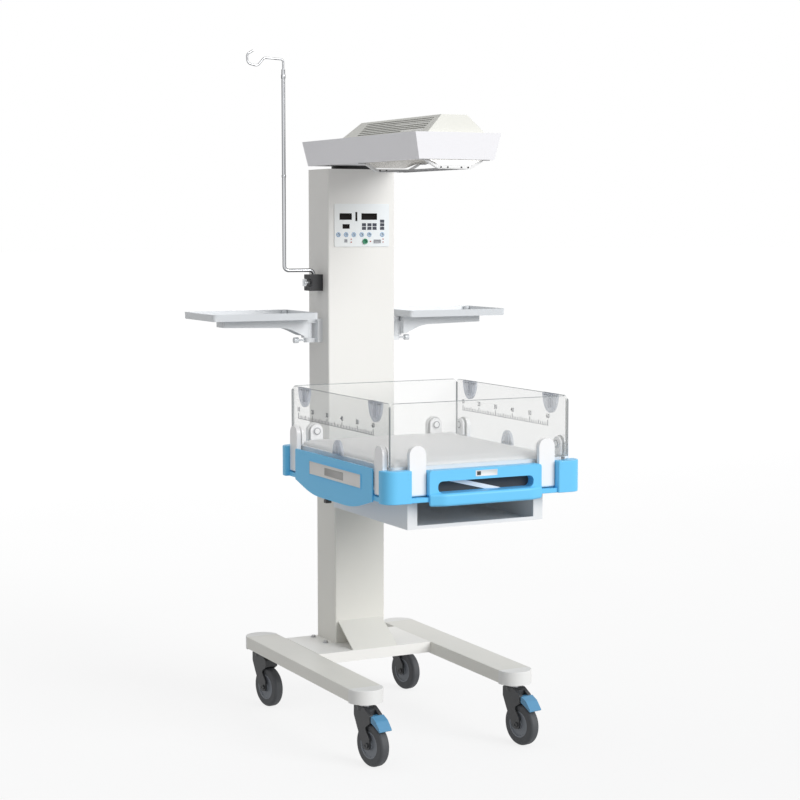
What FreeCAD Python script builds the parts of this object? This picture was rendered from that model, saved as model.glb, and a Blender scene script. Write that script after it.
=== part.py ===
import FreeCAD, Part
import math
import os
import re

import Sketcher
from FreeCAD import Placement, Rotation, Vector

# Infant radiant warmer: a wheeled base, a square column, a swivelling heater hood and a tilting bassinet.
# X runs across, +X is the right-hand side; the bassinet reaches forward, towards -Y; Z is up from the floor.
# The origin lies on the floor, in the middle of the ground that the whole warmer covers.

doc = FreeCAD.newDocument("radiant_warmer")
sheet = doc.addObject("Spreadsheet::Sheet", "sizes")

SIZES = {
    # The column's front face, which every other piece is set out from
    "face": 260,
    # Base: two box-section legs, a folded cross plate and moulded leg ends
    "base_width": 592,
    "leg_width": 104,
    "leg_height": 38,
    "leg_top": 220,
    "leg_wall": 3,
    "front_stem": 521,
    "rear_stem": 228,
    "plate_front": 95,
    "plate_rear": 156,
    "plate_height": 33,
    "plate_wall": 4,
    "cap_lip": 2,
    "plug_length": 30,
    "plug_gap": 0.2,
    "brace_half_width": 76,
    "brace_rise": 71,
    "brace_wall": 4,
    # Casters
    "wheel_radius": 62.5,
    "hub_radius": 39,
    "tyre_width": 30,
    "tread_round": 9,
    "hub_width": 32,
    "hub_boss": 14,
    "hub_rim": 6,
    "hub_recess": 4,
    "axle_radius": 4,
    "running_gap": 0.05,
    "trail": 38,
    "caster_turn": 10,
    "fork_gap": 1.2,
    "fork_wall": 5,
    "fork_top": 168,
    "fork_ring": 24,
    "arch_gap": 3.5,
    "stem_radius": 6,
    "stem_depth": 40,
    "stem_socket": 25,
    "collar_radius": 19,
    "swivel_gap": 0.4,
    "pedal_pin_forward": 43,
    "pedal_pin_height": 141,
    "pedal_pin_radius": 3,
    "pedal_tongue": 19,
    "pedal_side_gap": 0.6,
    "pedal_width": 42,
    "pedal_reach": 98,
    # Column
    "lower_width": 171,
    "lower_front": 16.4,
    "lower_depth": 136.3,
    "lower_wall": 3,
    "column_split": 690,
    "upper_width": 227,
    "upper_depth": 142.6,
    "upper_top": 1692.6,
    "upper_wall": 2.5,
    "column_plate": 5,
    "column_round": 5,
    "cover_wall": 2,
    "louvre_length": 60,
    "louvre_height": 6,
    "louvre_pitch": 14,
    "louvre_count": 9,
    "louvre_depth": 5,
    "louvre_low": 1240,
    "inlet_width": 48,
    "inlet_height": 58,
    "inlet_low": 760,
    "inlet_depth": 12,
    # Control panel
    "panel_width": 186,
    "panel_low": 1456,
    "panel_high": 1587,
    "panel_wall": 3,
    "window_depth": 1,
    # Hood
    "pivot_radius": 62,
    "spigot_radius": 20,
    "spigot_rise": 22,
    "hood_gap": 11,
    "hood_height": 74,
    "hood_top_half": 135,
    "hood_bottom_half": 119,
    "hood_front": 619,
    "hood_back": 142.5,
    "hood_draft": 9,
    "hood_wall": 2.5,
    "mouth_half": 102,
    "mouth_front": 604,
    "mouth_back": 192,
    "housing_height": 50,
    "housing_base_half": 90,
    "housing_top_half": 40,
    "housing_base_front": 606,
    "housing_top_front": 592,
    "housing_base_back": 40,
    "housing_top_back": 85,
    "housing_wall": 2,
    "vent_count": 7,
    "vent_pitch": 5.5,
    "vent_height": 2,
    "vent_first": 8,
    "vent_front": 560,
    "vent_back": 140,
    "reflector_half": 98,
    "reflector_rise": 44,
    "reflector_wall": 1.2,
    "reflector_front": 600,
    "reflector_back": 196,
    "reflector_drop": 14,
    "reflector_flange": 14,
    "heater_radius": 7,
    "heater_spread": 34,
    "heater_height": 22,
    "holder_size": 22,
    "guard_half": 93,
    "guard_low_half": 52,
    "guard_drop": 25,
    "guard_strip": 12,
    "guard_foot": 20,
    "guard_wall": 2,
    "guard_front": 588,
    "guard_back": 207,
    "wire_radius": 1.5,
    "wire_inner": 21.5,
    "wire_outer": 43,
    # Accessory trays
    "tray_inner": 155,
    "tray_outer": 500,
    "tray_front": 25,
    "tray_depth": 250,
    "tray_low": 1236,
    "tray_height": 21,
    "tray_wall": 2.5,
    "tray_round": 14,
    "lug_radius": 9,
    "lug_hole": 4,
    "tray_pin_out": 150,
    "tray_pin_back": 71,
    "tray_pin_radius": 5,
    "bracket_depth": 56,
    "bracket_low": 1162,
    "bracket_plate": 16,
    "bracket_lug": 14,
    "bracket_nose": 14,
    "lug_play": 0.3,
    "arm_depth": 60,
    "arm_wall": 2.5,
    "arm_out": 440,
    "arm_end_height": 22,
    "arm_root_height": 44,
    "arm_bend": 232,
    "screw_radius": 3,
    "screw_length": 34,
    "screw_grip": 9,
    # Drip pole on the left
    "clamp_width": 30,
    "clamp_depth": 44,
    "clamp_low": 1321,
    "clamp_height": 50,
    "clamp_back": 38,
    "clamp_notch": 12,
    "pole_radius": 5.5,
    "pole_out": 135,
    "pole_back": 60,
    "pole_bend_height": 1384,
    "pole_bend_radius": 14,
    "pole_upright": 233,
    "pole_top": 1990,
    "pole_socket": 42,
    "hook_radius": 3,
    "hook_slot": 560,
    "hook_top": 2003,
    "knob_radius": 11,
    # Bassinet: frame, deck, skirts, shelf
    "bed_half": 308,
    "bed_front": 785,
    "bed_back": 65,
    "ledge_half": 296,
    "ledge_front": 778,
    "ledge_back": 72,
    "ledge_low": 777,
    "ledge_height": 13,
    "ledge_width": 50,
    "guard_top": 866,
    "guard_round": 34,
    "handle_half": 176,
    "handle_front": 782,
    "handle_back": 752.3,
    "handle_top": 862,
    "slot_half": 150,
    "slot_low": 800,
    "slot_high": 832,
    "slot_round": 14,
    "bar_low": 765,
    "bar_bulge": 18,
    "skirt_wall": 4,
    "skirt_front": 682,
    "skirt_back": 167,
    "skirt_top": 865,
    "skirt_end_low": 774,
    "skirt_mid_low": 742,
    "skirt_tab": 12,
    "rail_width": 24,
    "rail_height": 25,
    "rail_half": 278,
    "front_rail": 700,
    "rear_rail": 150,
    "brace_front_half": 205,
    "deck_half": 271,
    "deck_front": 741,
    "deck_back": 107,
    "deck_floor": 850,
    "deck_height": 22,
    "deck_wall": 3,
    "mattress_gap": 0.3,
    "mattress_inset": 8,
    "mattress_top": 886,
    "shelf_half": 214,
    "shelf_front": 725,
    "shelf_back": 250,
    "shelf_low": 696,
    "shelf_wall": 2.5,
    "shelf_channel": 30,
    "shelf_lip": 10,
    # Tilt of the bassinet
    "tilt_forward": 195,
    "tilt_height": 785,
    "tilt_radius": 12,
    "tilt_half": 104,
    "bearing_radius": 19,
    "bearing_inner": 68,
    "arm_plate_half": 60,
    "arm_plate_wall": 8,
    "arm_root_low": 696,
    "arm_root_high": 742,
    "lever_out": 190,
    "lever_height": 728,
    "lever_pin": 4,
    # Clear side panels and the arms that hold them
    "pane_half": 278,
    "pane_front": 749.5,
    "pane_back": 100,
    "pane_wall": 5,
    "pane_low": 873,
    "pane_top": 1046,
    "pane_round": 16,
    "pane_corner_gap": 4,
    "post_half": 25,
    "post_wall": 13,
    "post_gap": 0.3,
    "post_pivot": 799,
    "post_top": 930,
    "post_across": 203,
    "post_near_front": 709,
    "post_near_back": 140,
    "clip_half": 20,
    "clip_wall": 6,
    "clip_low": 875,
    "clip_top": 926,
    "disc_radius": 12,
    "disc_height": 906,
    "disc_wall": 3,
    "pin_radius": 6,
    "pin_gap": 0.2,
    "trunnion_radius": 3,
    "trunnion_length": 7,
    "ear_gap": 2,
    "ear_width": 6,
    "ear_height": 16,
    "socket_gap": 0.3,
    "socket_wall": 3,
    "socket_height": 22,
}

for row, (word, number) in enumerate(SIZES.items(), start=1):
    sheet.set(f"A{row}", word)
    sheet.set(f"B{row}", str(number))
    sheet.setAlias(f"B{row}", word)
doc.recompute()

WORDS = re.compile(r"[a-z_]+")
AXES = {"x": Vector(1, 0, 0), "y": Vector(0, 1, 0), "z": Vector(0, 0, 1)}
ALONG = {"x": Rotation(AXES["y"], 90), "y": Rotation(AXES["x"], -90), "z": Rotation()}
nodes = []


def linked(formula):
    """A formula in plain size words, written as one that reads the sheet."""
    return WORDS.sub(lambda found: "sizes." + found.group() if found.group() in SIZES else found.group(), str(formula))


def size(formula):
    return float(sheet.evalExpression(linked(formula)))


def bind(thing, **formulas):
    for prop, formula in formulas.items():
        thing.setExpression(prop.replace("_at_", "."), linked(formula))
    return thing


def place(thing, x="0", y="0", z="0", turn=None):
    """Stand a piece at x, y, z, turned about the upright axis by a size in degrees."""
    if turn is not None:
        thing.Placement = Placement(Vector(), Rotation(AXES["z"], 1))
        thing.setExpression("Placement.Rotation.Angle", linked(turn))
    for axis, formula in zip("xyz", (x, y, z)):
        thing.setExpression(f"Placement.Base.{axis}", linked(formula))
    return thing


def keep(label, thing):
    """Name a finished sub-part: its label is its file's name."""
    thing.Label = label
    nodes.append(thing)
    return thing


def block(name, x, y, z):
    """A box between pairs of lower and upper formulas."""
    box = doc.addObject("Part::Box", name)
    bind(box, Length=f"({x[1]}) - ({x[0]})", Width=f"({y[1]}) - ({y[0]})", Height=f"({z[1]}) - ({z[0]})")
    return place(box, x[0], y[0], z[0])


def rod(name, axis, radius, span, across):
    """A round bar along an axis between two formulas; across places it on the other two axes, in order."""
    bar = doc.addObject("Part::Cylinder", name)
    bind(bar, Radius=radius, Height=f"({span[1]}) - ({span[0]})")
    bar.Placement = Placement(Vector(), ALONG[axis])
    spots = dict(zip([a for a in "xyz" if a != axis], across))
    spots[axis] = span[0]
    for a in "xyz":
        bar.setExpression(f"Placement.Base.{a}", linked(spots[a]))
    return bar


def fuse(name, *pieces):
    whole = doc.addObject("Part::MultiFuse", name)
    whole.Shapes = list(pieces)
    whole.Refine = True
    return whole


def cut(name, base, *tools):
    result = doc.addObject("Part::Cut", name)
    result.Base = base
    result.Tool = tools[0] if len(tools) == 1 else fuse(name + "_tools", *tools)
    return result


def group(name, *pieces):
    """Like pieces that share one node and stay separate solids."""
    together = doc.addObject("Part::Compound", name)
    together.Links = list(pieces)
    return together


def body(name):
    return doc.addObject("PartDesign::Body", name)


def draw_circle(sketch, x, y, radius):
    ring = sketch.addGeometry(Part.Circle(Vector(size(x), size(y), 0), AXES["z"], size(radius)), False)
    for kind, end, formula in (("DistanceX", 3, x), ("DistanceY", 3, y)):
        number = sketch.addConstraint(Sketcher.Constraint(kind, -1, 1, ring, end, size(formula)))
        sketch.setExpression(f"Constraints[{number}]", linked(formula))
    number = sketch.addConstraint(Sketcher.Constraint("Radius", ring, size(radius)))
    sketch.setExpression(f"Constraints[{number}]", linked(radius))


def pin_point(sketch, item, end, x, y):
    for kind, formula in (("DistanceX", x), ("DistanceY", y)):
        number = sketch.addConstraint(Sketcher.Constraint(kind, -1, 1, item, end, size(formula)))
        sketch.setExpression(f"Constraints[{number}]", linked(formula))


def draw_outline(sketch, corners):
    """A closed outline. A corner is (x, y), or (x, y, radius) where an arc rounds it."""
    spots = [Vector(size(corner[0]), size(corner[1]), 0) for corner in corners]
    count = len(corners)
    leave, arrive, arcs = [], [], {}
    for i, corner in enumerate(corners):
        back = (spots[i - 1] - spots[i]).normalize()
        ahead = (spots[(i + 1) % count] - spots[i]).normalize()
        radius = size(corner[2]) if len(corner) == 3 else 0
        half = back.getAngle(ahead) / 2
        arrive.append(spots[i] + back * (radius / math.tan(half)))
        leave.append(spots[i] + ahead * (radius / math.tan(half)))
        if radius:
            centre = spots[i] + (back + ahead).normalize() * (radius / math.sin(half))
            left_turn = ahead.cross(back).z > 0
            ends = (arrive[i], leave[i]) if left_turn else (leave[i], arrive[i])
            angles = [math.atan2(end.y - centre.y, end.x - centre.x) for end in ends]
            if angles[1] < angles[0]:
                angles[1] += 2 * math.pi
            arc = Part.ArcOfCircle(Part.Circle(centre, AXES["z"], radius), *angles)
            arcs[i] = (sketch.addGeometry(arc, False), (1, 2) if left_turn else (2, 1))
    lines = [sketch.addGeometry(Part.LineSegment(leave[i], arrive[(i + 1) % count]), False) for i in range(count)]
    for i, corner in enumerate(corners):
        before, after = lines[i - 1], lines[i]
        if i not in arcs:
            sketch.addConstraint(Sketcher.Constraint("Coincident", before, 2, after, 1))
            pin_point(sketch, after, 1, corner[0], corner[1])
            continue
        arc, (first, last) = arcs[i]
        tip = sketch.addGeometry(Part.Point(spots[i]), True)
        pin_point(sketch, tip, 1, corner[0], corner[1])
        sketch.addConstraint(Sketcher.Constraint("PointOnObject", tip, 1, before))
        sketch.addConstraint(Sketcher.Constraint("PointOnObject", tip, 1, after))
        sketch.addConstraint(Sketcher.Constraint("Tangent", before, 2, arc, first))
        sketch.addConstraint(Sketcher.Constraint("Tangent", arc, last, after, 1))
        number = sketch.addConstraint(Sketcher.Constraint("Radius", arc, size(corner[2])))
        sketch.setExpression(f"Constraints[{number}]", linked(corner[2]))


def draw(owner, plane, shapes, level):
    """A sketch on one of a body's own planes, moved along the plane's normal by level."""
    sketch = owner.newObject("Sketcher::SketchObject", owner.Name + "_sketch")
    flat = [f for f in owner.Origin.OriginFeatures if f.Role == plane.upper() + "_Plane"][0]
    sketch.AttachmentSupport = (flat, [""])
    sketch.MapMode = "FlatFace"
    sketch.setExpression("AttachmentOffset.Base.z", linked(level))
    for shape in shapes:
        if shape[0] == "circle":
            draw_circle(sketch, *shape[1:])
        else:
            draw_outline(sketch, shape)
    return sketch


def pad(owner, plane, shapes, low, high):
    """Add the outline between two levels. The xz plane faces -Y, so there the sketch stands at the upper one."""
    level = f"-({high})" if plane == "xz" else low
    sketch = draw(owner, plane, shapes, level)
    feature = owner.newObject("PartDesign::Pad", owner.Name + "_pad")
    feature.Profile = sketch
    return bind(feature, Length=f"({high}) - ({low})")


def pocket(owner, plane, shapes, low, high):
    """Cut the outline away between two levels."""
    level = f"-({low})" if plane == "xz" else high
    sketch = draw(owner, plane, shapes, level)
    feature = owner.newObject("PartDesign::Pocket", owner.Name + "_pocket")
    feature.Profile = sketch
    return bind(feature, Length=f"({high}) - ({low})")


def revolve(owner, plane, shapes, axis):
    sketch = draw(owner, plane, shapes, "0")
    feature = owner.newObject("PartDesign::Revolution", owner.Name + "_turned")
    feature.Profile = sketch
    line = [f for f in owner.Origin.OriginFeatures if f.Role == axis.upper() + "_Axis"][0]
    feature.ReferenceAxis = (line, [""])
    feature.Angle = 360
    return feature


def loft(owner, kind, plane, sections):
    """A loft through outlines, each given with its level."""
    sketches = [draw(owner, plane, [shape], level) for shape, level in sections]
    feature = owner.newObject("PartDesign::" + kind, owner.Name + "_loft")
    feature.Profile = sketches[0]
    feature.Sections = sketches[1:]
    feature.Ruled = True
    return feature


def repeat(owner, feature, axis, count, pitch):
    """Copies of one feature in a row along one of the body's axes."""
    pattern = owner.newObject("PartDesign::LinearPattern", owner.Name + "_row")
    pattern.Originals = [feature]
    line = [f for f in owner.Origin.OriginFeatures if f.Role == axis.upper() + "_Axis"][0]
    pattern.Direction = (line, [""])
    bind(pattern, Length=f"({pitch}) * ({count} - 1)", Occurrences=count)
    owner.Tip = pattern
    return pattern


def soften(owner, radius, test):
    """Round every edge of the body so far that passes the test."""
    doc.recompute()
    base = owner.Tip
    edges = [f"Edge{i}" for i, edge in enumerate(base.Shape.Edges, start=1) if test(edge)]
    feature = owner.newObject("PartDesign::Fillet", owner.Name + "_round")
    feature.Base = (base, edges)
    return bind(feature, Radius=radius)


def runs(edge, axis):
    """True for a straight edge along an axis."""
    start, end = edge.Vertexes[0].Point, edge.Vertexes[-1].Point
    return edge.Curve.TypeId == "Part::GeomLine" and (end - start).cross(AXES[axis]).Length < 1e-6


def lies(edge, axis, formula):
    """True for an edge that lies flat at one level of an axis."""
    level = size(formula)
    return all(abs(getattr(v.Point, axis) - level) < 1e-6 for v in edge.Vertexes)


def rectangle(x_low, y_low, x_high, y_high, radius=None):
    corners = [(x_low, y_low), (x_high, y_low), (x_high, y_high), (x_low, y_high)]
    return [corner + (radius,) for corner in corners] if radius else corners


def span(side, near, far):
    """The lower and upper of two distances from the middle plane, on the given side."""
    return (near, far) if side > 0 else (f"-({far})", f"-({near})")


SIDES = {"left": -1, "right": 1}
CORNERS = [(end, name, side) for end in ("front", "rear") for name, side in SIDES.items()]
STEM_X = "base_width / 2 - leg_width / 2"
STEM_Y = {"front": "face - front_stem", "rear": "face + rear_stem"}
LEG_LOW = "leg_top - leg_height"

# Legs: rectangular steel tube, one each side, from the front stem to the rear one
for name, side in SIDES.items():
    leg = body(name + "_leg")
    x_low, x_high = span(side, "base_width / 2 - leg_width", "base_width / 2")
    outer = rectangle(x_low, LEG_LOW, x_high, "leg_top", "leg_wall")
    inner = rectangle(f"{x_low} + leg_wall", f"{LEG_LOW} + leg_wall", f"{x_high} - leg_wall", "leg_top - leg_wall")
    pad(leg, "xz", [outer, inner], STEM_Y["front"], STEM_Y["rear"])
    stem_holes = [("circle", f"{side} * ({STEM_X})", stem_y, "stem_radius + running_gap") for stem_y in STEM_Y.values()]
    pocket(leg, "xy", stem_holes, LEG_LOW, f"{LEG_LOW} + leg_wall")
    keep(name + "_leg", leg)

# Cross plate: folded sheet between the legs, open underneath
plate = body("cross_plate")
plate_half = "base_width / 2 - leg_width"
pad(plate, "xy", [rectangle(f"-({plate_half})", "face - plate_front", plate_half, "face + plate_rear")],
    "leg_top - plate_height", "leg_top")
inner_half = f"({plate_half} - plate_wall)"
pocket(plate, "xy", [rectangle(f"-{inner_half}", "face - plate_front + plate_wall",
                               inner_half, "face + plate_rear - plate_wall")],
       "leg_top - plate_height", "leg_top - plate_wall")
keep("cross_plate", plate)

# Leg ends: moulded half-round caps that plug into the tubes and hold the caster stems
caps = []
for end, name, side in CORNERS:
    ahead = -1 if end == "front" else 1
    cap = body(f"{end}_{name}_cap")
    reach = f"{ahead} * leg_width / 2"
    half = "leg_width / 2"
    outline = [(f"-{half}", "0"), (f"-{half}", reach, f"{half} - 0.5"), (half, reach, f"{half} - 0.5"), (half, "0")]
    pad(cap, "xy", [outline], f"{LEG_LOW} - cap_lip", "leg_top")
    soften(cap, "2", lambda edge: lies(edge, "z", "leg_top") and not runs(edge, "x"))
    plug_low, plug_high = ("0", "plug_length") if ahead < 0 else ("-plug_length", "0")
    inset = "leg_wall + plug_gap"
    pad(cap, "xz", [rectangle(f"-{half} + {inset}", f"{LEG_LOW} + {inset}", f"{half} - ({inset})",
                              f"leg_top - ({inset})")], plug_low, plug_high)
    pocket(cap, "xy", [("circle", "0", "0", "stem_radius")], f"{LEG_LOW} - cap_lip",
           f"{LEG_LOW} - cap_lip + stem_socket")
    caps.append(place(cap, f"{side} * ({STEM_X})", STEM_Y[end]))
keep("leg_end_caps", group("leg_end_caps", *caps))

# Front brace: a sloping plate from the column down to the cross plate's front edge
brace = body("front_brace")
wall_up = "brace_wall / sin(atan(brace_rise / (lower_front + plate_front)))"
pad(brace, "yz", [[("face - plate_front", "leg_top"), (f"face - plate_front + {wall_up}", "leg_top"),
                   ("face + lower_front", f"leg_top + brace_rise - brace_wall"),
                   ("face + lower_front", "leg_top + brace_rise")]],
    "-brace_half_width", "brace_half_width")
keep("front_brace", brace)

# Lower column: square steel tube that stands on the cross plate
lower = body("lower_column")
lower_y = ("face + lower_front", "face + lower_front + lower_depth")
half = "lower_width / 2"
pad(lower, "xy", [rectangle(f"-{half}", lower_y[0], half, lower_y[1], "column_round"),
                  rectangle(f"-{half} + lower_wall", f"{lower_y[0]} + lower_wall", f"{half} - lower_wall",
                            f"{lower_y[1]} - lower_wall")], "leg_top", "column_split")
keep("lower_column", lower)

# Upper column: a folded channel with a plate at each end, open at the back
upper = body("upper_column")
half = "upper_width / 2"
back = "face + upper_depth"
pad(upper, "xy", [[(f"-{half}", "face", "column_round"), (half, "face", "column_round"), (half, back), (f"-{half}", back)]],
    "column_split", "upper_top")
pocket(upper, "xz", [rectangle(f"-{half} + upper_wall", "column_split + column_plate", f"{half} - upper_wall",
                               "upper_top - column_plate")], "face + upper_wall", back)
pocket(upper, "xy", [("circle", "0", "face + upper_depth / 2", "spigot_radius")], "upper_top - column_plate", "upper_top")
keep("upper_column", upper)

# Rear cover: a pressed sheet that closes the channel, with a row of louvres and the hole for the mains inlet
cover = body("rear_cover")
cover_half = f"({half} - upper_wall)"
cover_low, cover_high = "column_split + column_plate", "upper_top - column_plate"
pad(cover, "xz", [rectangle(f"-{cover_half}", cover_low, cover_half, cover_high)], f"{back} - cover_wall", back)
louvre_half = "louvre_length / 2"
louvre = pad(cover, "yz", [[(f"{back} - 0.5", "louvre_low"), (f"{back} + louvre_depth", "louvre_low"),
                            (f"{back} + louvre_depth", "louvre_low + 1"), (f"{back} - 0.5", "louvre_low + louvre_height")]],
             f"-{louvre_half}", louvre_half)
repeat(cover, louvre, "z", "louvre_count", "louvre_pitch")
slit = pocket(cover, "yz", [rectangle(f"{back} - cover_wall - 1", "louvre_low - 0.01",
                                      f"{back} + louvre_depth - 1", "louvre_low + 1.5")],
              f"-{louvre_half} + 1", f"{louvre_half} - 1")
repeat(cover, slit, "z", "louvre_count", "louvre_pitch")
pocket(cover, "xz", [rectangle("-inlet_width / 2", "inlet_low", "inlet_width / 2", "inlet_low + inlet_height")],
       f"{back} - cover_wall - 1", back)
keep("rear_cover", cover)

# Mains inlet: a moulded socket set in the rear cover, with three pins in a recess
inlet = body("mains_inlet")
inlet_half = "inlet_width / 2"
pad(inlet, "xz", [rectangle(f"-{inlet_half}", "inlet_low", inlet_half, "inlet_low + inlet_height")],
    f"{back} - cover_wall - inlet_depth", back)
pad(inlet, "xz", [rectangle(f"-{inlet_half} - 3", "inlet_low - 3", f"{inlet_half} + 3", "inlet_low + inlet_height + 3", "4")],
    back, f"{back} + 2")
pocket(inlet, "xz", [rectangle(f"-{inlet_half} + 9", "inlet_low + 8", f"{inlet_half} - 9", "inlet_low + 30", "4")],
       f"{back} - inlet_depth + 2", f"{back} + 2")
for pin, rise in (("-8", "17"), ("0", "22"), ("8", "17")):
    pad(inlet, "xz", [rectangle(f"{pin} - 1.2", f"inlet_low + {rise} - 3", f"{pin} + 1.2", f"inlet_low + {rise} + 3")],
        f"{back} - inlet_depth + 1", f"{back} - 2")
keep("mains_inlet", inlet)

# Control panel: a shallow moulded plate on the column's front, with sunk display windows
panel = body("control_panel")
half = "panel_width / 2"
pad(panel, "xz", [rectangle(f"-{half}", "panel_low", half, "panel_high", "3")], "face - panel_wall", "face")
for left, low, right, high in (("-76", "82", "-34.5", "102"), ("-2", "82", "51.6", "102"), ("-66", "55", "-42", "69")):
    pocket(panel, "xz", [rectangle(left, f"panel_low + {low}", right, f"panel_low + {high}")],
           "face - panel_wall", "face - panel_wall + window_depth")
keep("control_panel", panel)

# Casters: each is modelled with its stem on the origin and its wheel trailing towards -Y, then set in place
AXLE = ("-trail", "wheel_radius")
fork_half = "(hub_width / 2 + fork_gap + fork_wall)"
slot_half = "(hub_width / 2 + fork_gap)"
stems = []
for end, name, side in CORNERS:
    spot = (f"{side} * ({STEM_X})", STEM_Y[end])
    stem_low = "fork_top - stem_depth"
    stem = rod("stem_pin", "z", "stem_radius", (stem_low, f"{LEG_LOW} - cap_lip + stem_socket"), spot)
    collar = rod("stem_collar", "z", "collar_radius", ("fork_top + swivel_gap", f"{LEG_LOW} - cap_lip"), spot)
    stems.append(fuse(f"{end}_{name}_stem", stem, collar))

    fork = body(f"{end}_{name}_fork")
    side_view = [("24", "fork_top", "4"), ("24", "fork_top - 28", "12"), ("8", "fork_top - 62", "10"),
                 ("-trail + 15", "wheel_radius - 13", "12"), ("-trail - 13", "wheel_radius - 13", "12"),
                 ("-trail - 11", "wheel_radius + 22", "8"), ("-28", "fork_top - 56", "8"), ("-52", "fork_top - 40", "3"),
                 ("-52", "fork_top - 18", "4"), ("-24", "fork_top", "6")]
    pad(fork, "yz", [side_view], f"-{fork_half}", fork_half)
    pad(fork, "xy", [("circle", "0", "0", "fork_ring")], "fork_top - 12", "fork_top")
    pocket(fork, "yz", [("circle",) + AXLE + ("wheel_radius + arch_gap",)], f"-{slot_half}", slot_half)
    pad(fork, "yz", [("circle",) + AXLE + ("axle_radius",)], f"-{fork_half} - 1.5", f"{fork_half} + 1.5")
    pocket(fork, "xy", [("circle", "0", "0", "stem_radius + running_gap")], f"{stem_low} - 1", "fork_top")
    if end == "front":
        tongue_half = "(pedal_tongue / 2 + pedal_side_gap)"
        pocket(fork, "xy", [rectangle(f"-{tongue_half}", "-60", tongue_half, "-pedal_pin_forward + 9.5")],
               "fork_top - 60", "fork_top")
        pad(fork, "yz", [("circle", "-pedal_pin_forward", "pedal_pin_height", "pedal_pin_radius")],
            f"-{tongue_half} - 1", f"{tongue_half} + 1")
    keep(f"{end}_{name}_fork", place(fork, *spot, turn="caster_turn"))

    wheel_x = f"{spot[0]} + trail * sin(caster_turn * 1 deg)"
    wheel_y = f"{spot[1]} - trail * cos(caster_turn * 1 deg)"
    tyre = body(f"{end}_{name}_tyre")
    half = "tyre_width / 2"
    revolve(tyre, "xy", [[(f"-{half}", "hub_radius"), (half, "hub_radius"), (half, "wheel_radius", "tread_round"),
                          (f"-{half}", "wheel_radius", "tread_round")]], "x")
    keep(f"{end}_{name}_tyre", place(tyre, wheel_x, wheel_y, "wheel_radius", "caster_turn"))
    hub = body(f"{end}_{name}_hub")
    half = "hub_width / 2"
    web = f"({half} - hub_recess)"
    rim = "hub_radius - hub_rim"
    revolve(hub, "xy", [[(f"-{half}", "axle_radius + running_gap"), (half, "axle_radius + running_gap"),
                         (half, "hub_boss"), (web, "hub_boss + 1"), (web, rim), (f"tyre_width / 2", f"{rim} + 2"),
                         ("tyre_width / 2", "hub_radius"), ("-tyre_width / 2", "hub_radius"),
                         ("-tyre_width / 2", f"{rim} + 2"), (f"-{web}", rim), (f"-{web}", "hub_boss + 1"),
                         (f"-{half}", "hub_boss")]], "x")
    keep(f"{end}_{name}_hub", place(hub, wheel_x, wheel_y, "wheel_radius", "caster_turn"))
    if end == "rear":
        continue

    # Brake pedal: a moulded toe lever on a tongue, pinned in the fork's nose
    pedal = body(f"{end}_{name}_brake_pedal")
    pedal_view = [("-pedal_pin_forward - 13", "pedal_pin_height + 11", "3"),
                  ("-pedal_pin_forward - 13", "pedal_pin_height - 9", "3"), ("-73", "124", "12"),
                  ("-pedal_reach", "110", "2"), ("-pedal_reach - 1", "115", "2"), ("-80", "139", "14")]
    pad(pedal, "yz", [pedal_view], "-pedal_width / 2", "pedal_width / 2")
    tongue = [("-pedal_pin_forward - 15", "pedal_pin_height - 7"), ("-pedal_pin_forward + 7.5", "pedal_pin_height - 7.5", "7"),
              ("-pedal_pin_forward + 7.5", "pedal_pin_height + 7.5", "7"), ("-pedal_pin_forward - 15", "pedal_pin_height + 7")]
    pad(pedal, "yz", [tongue], "-pedal_tongue / 2", "pedal_tongue / 2")
    pocket(pedal, "yz", [("circle", "-pedal_pin_forward", "pedal_pin_height", "pedal_pin_radius + running_gap")],
           "-pedal_tongue", "pedal_tongue")
    keep(f"{end}_{name}_brake_pedal", place(pedal, *spot, turn="caster_turn"))
keep("caster_stems", group("caster_stems", *stems))

# Hood pivot: a turned flange and spigot on top of the column
HOOD_Y = "face + upper_depth / 2"
hood_low = "upper_top + hood_gap"
hood_high = "upper_top + hood_gap + hood_height"
flange = rod("pivot_flange", "z", "pivot_radius", ("upper_top", f"{hood_low} - swivel_gap"), ("0", HOOD_Y))
spigot = rod("pivot_spigot", "z", "spigot_radius", ("upper_top - column_plate", f"{hood_low} + spigot_rise"), ("0", HOOD_Y))
keep("hood_pivot", fuse("hood_pivot", flange, spigot))


def hood_plan(half, inset):
    return rectangle(f"-({half} - {inset})", f"face - hood_front + {inset}", f"{half} - {inset}",
                     f"face + hood_back - {inset}")


# Hood shell: a folded pan that widens upwards, open underneath where the heater looks down
shell = body("hood_shell")
loft(shell, "AdditiveLoft", "xy", [(hood_plan("hood_bottom_half + hood_draft", "hood_draft"), hood_low),
                                   (hood_plan("hood_top_half", "0"), hood_high)])
loft(shell, "SubtractiveLoft", "xy", [(hood_plan("hood_bottom_half + hood_draft", "(hood_draft + hood_wall)"),
                                       f"{hood_low} + hood_wall"),
                                      (hood_plan("hood_top_half", "hood_wall"), f"{hood_high} - hood_wall")])
pocket(shell, "xy", [rectangle("-mouth_half", "face - mouth_front", "mouth_half", "face - mouth_back")],
       f"{hood_low} - 1", f"{hood_low} + hood_wall + 1")
pad(shell, "xy", [("circle", "0", HOOD_Y, "spigot_radius + 8")], hood_low, f"{hood_low} + spigot_rise - 2")
pocket(shell, "xy", [("circle", "0", HOOD_Y, "spigot_radius + running_gap")], f"{hood_low} - 1", f"{hood_low} + spigot_rise")
keep("hood_shell", shell)


def housing_plan(half, front, back, inset="0"):
    return rectangle(f"-({half} - {inset})", f"face - {front} + {inset}", f"{half} - {inset}", f"face - {back} - {inset}")


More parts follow.
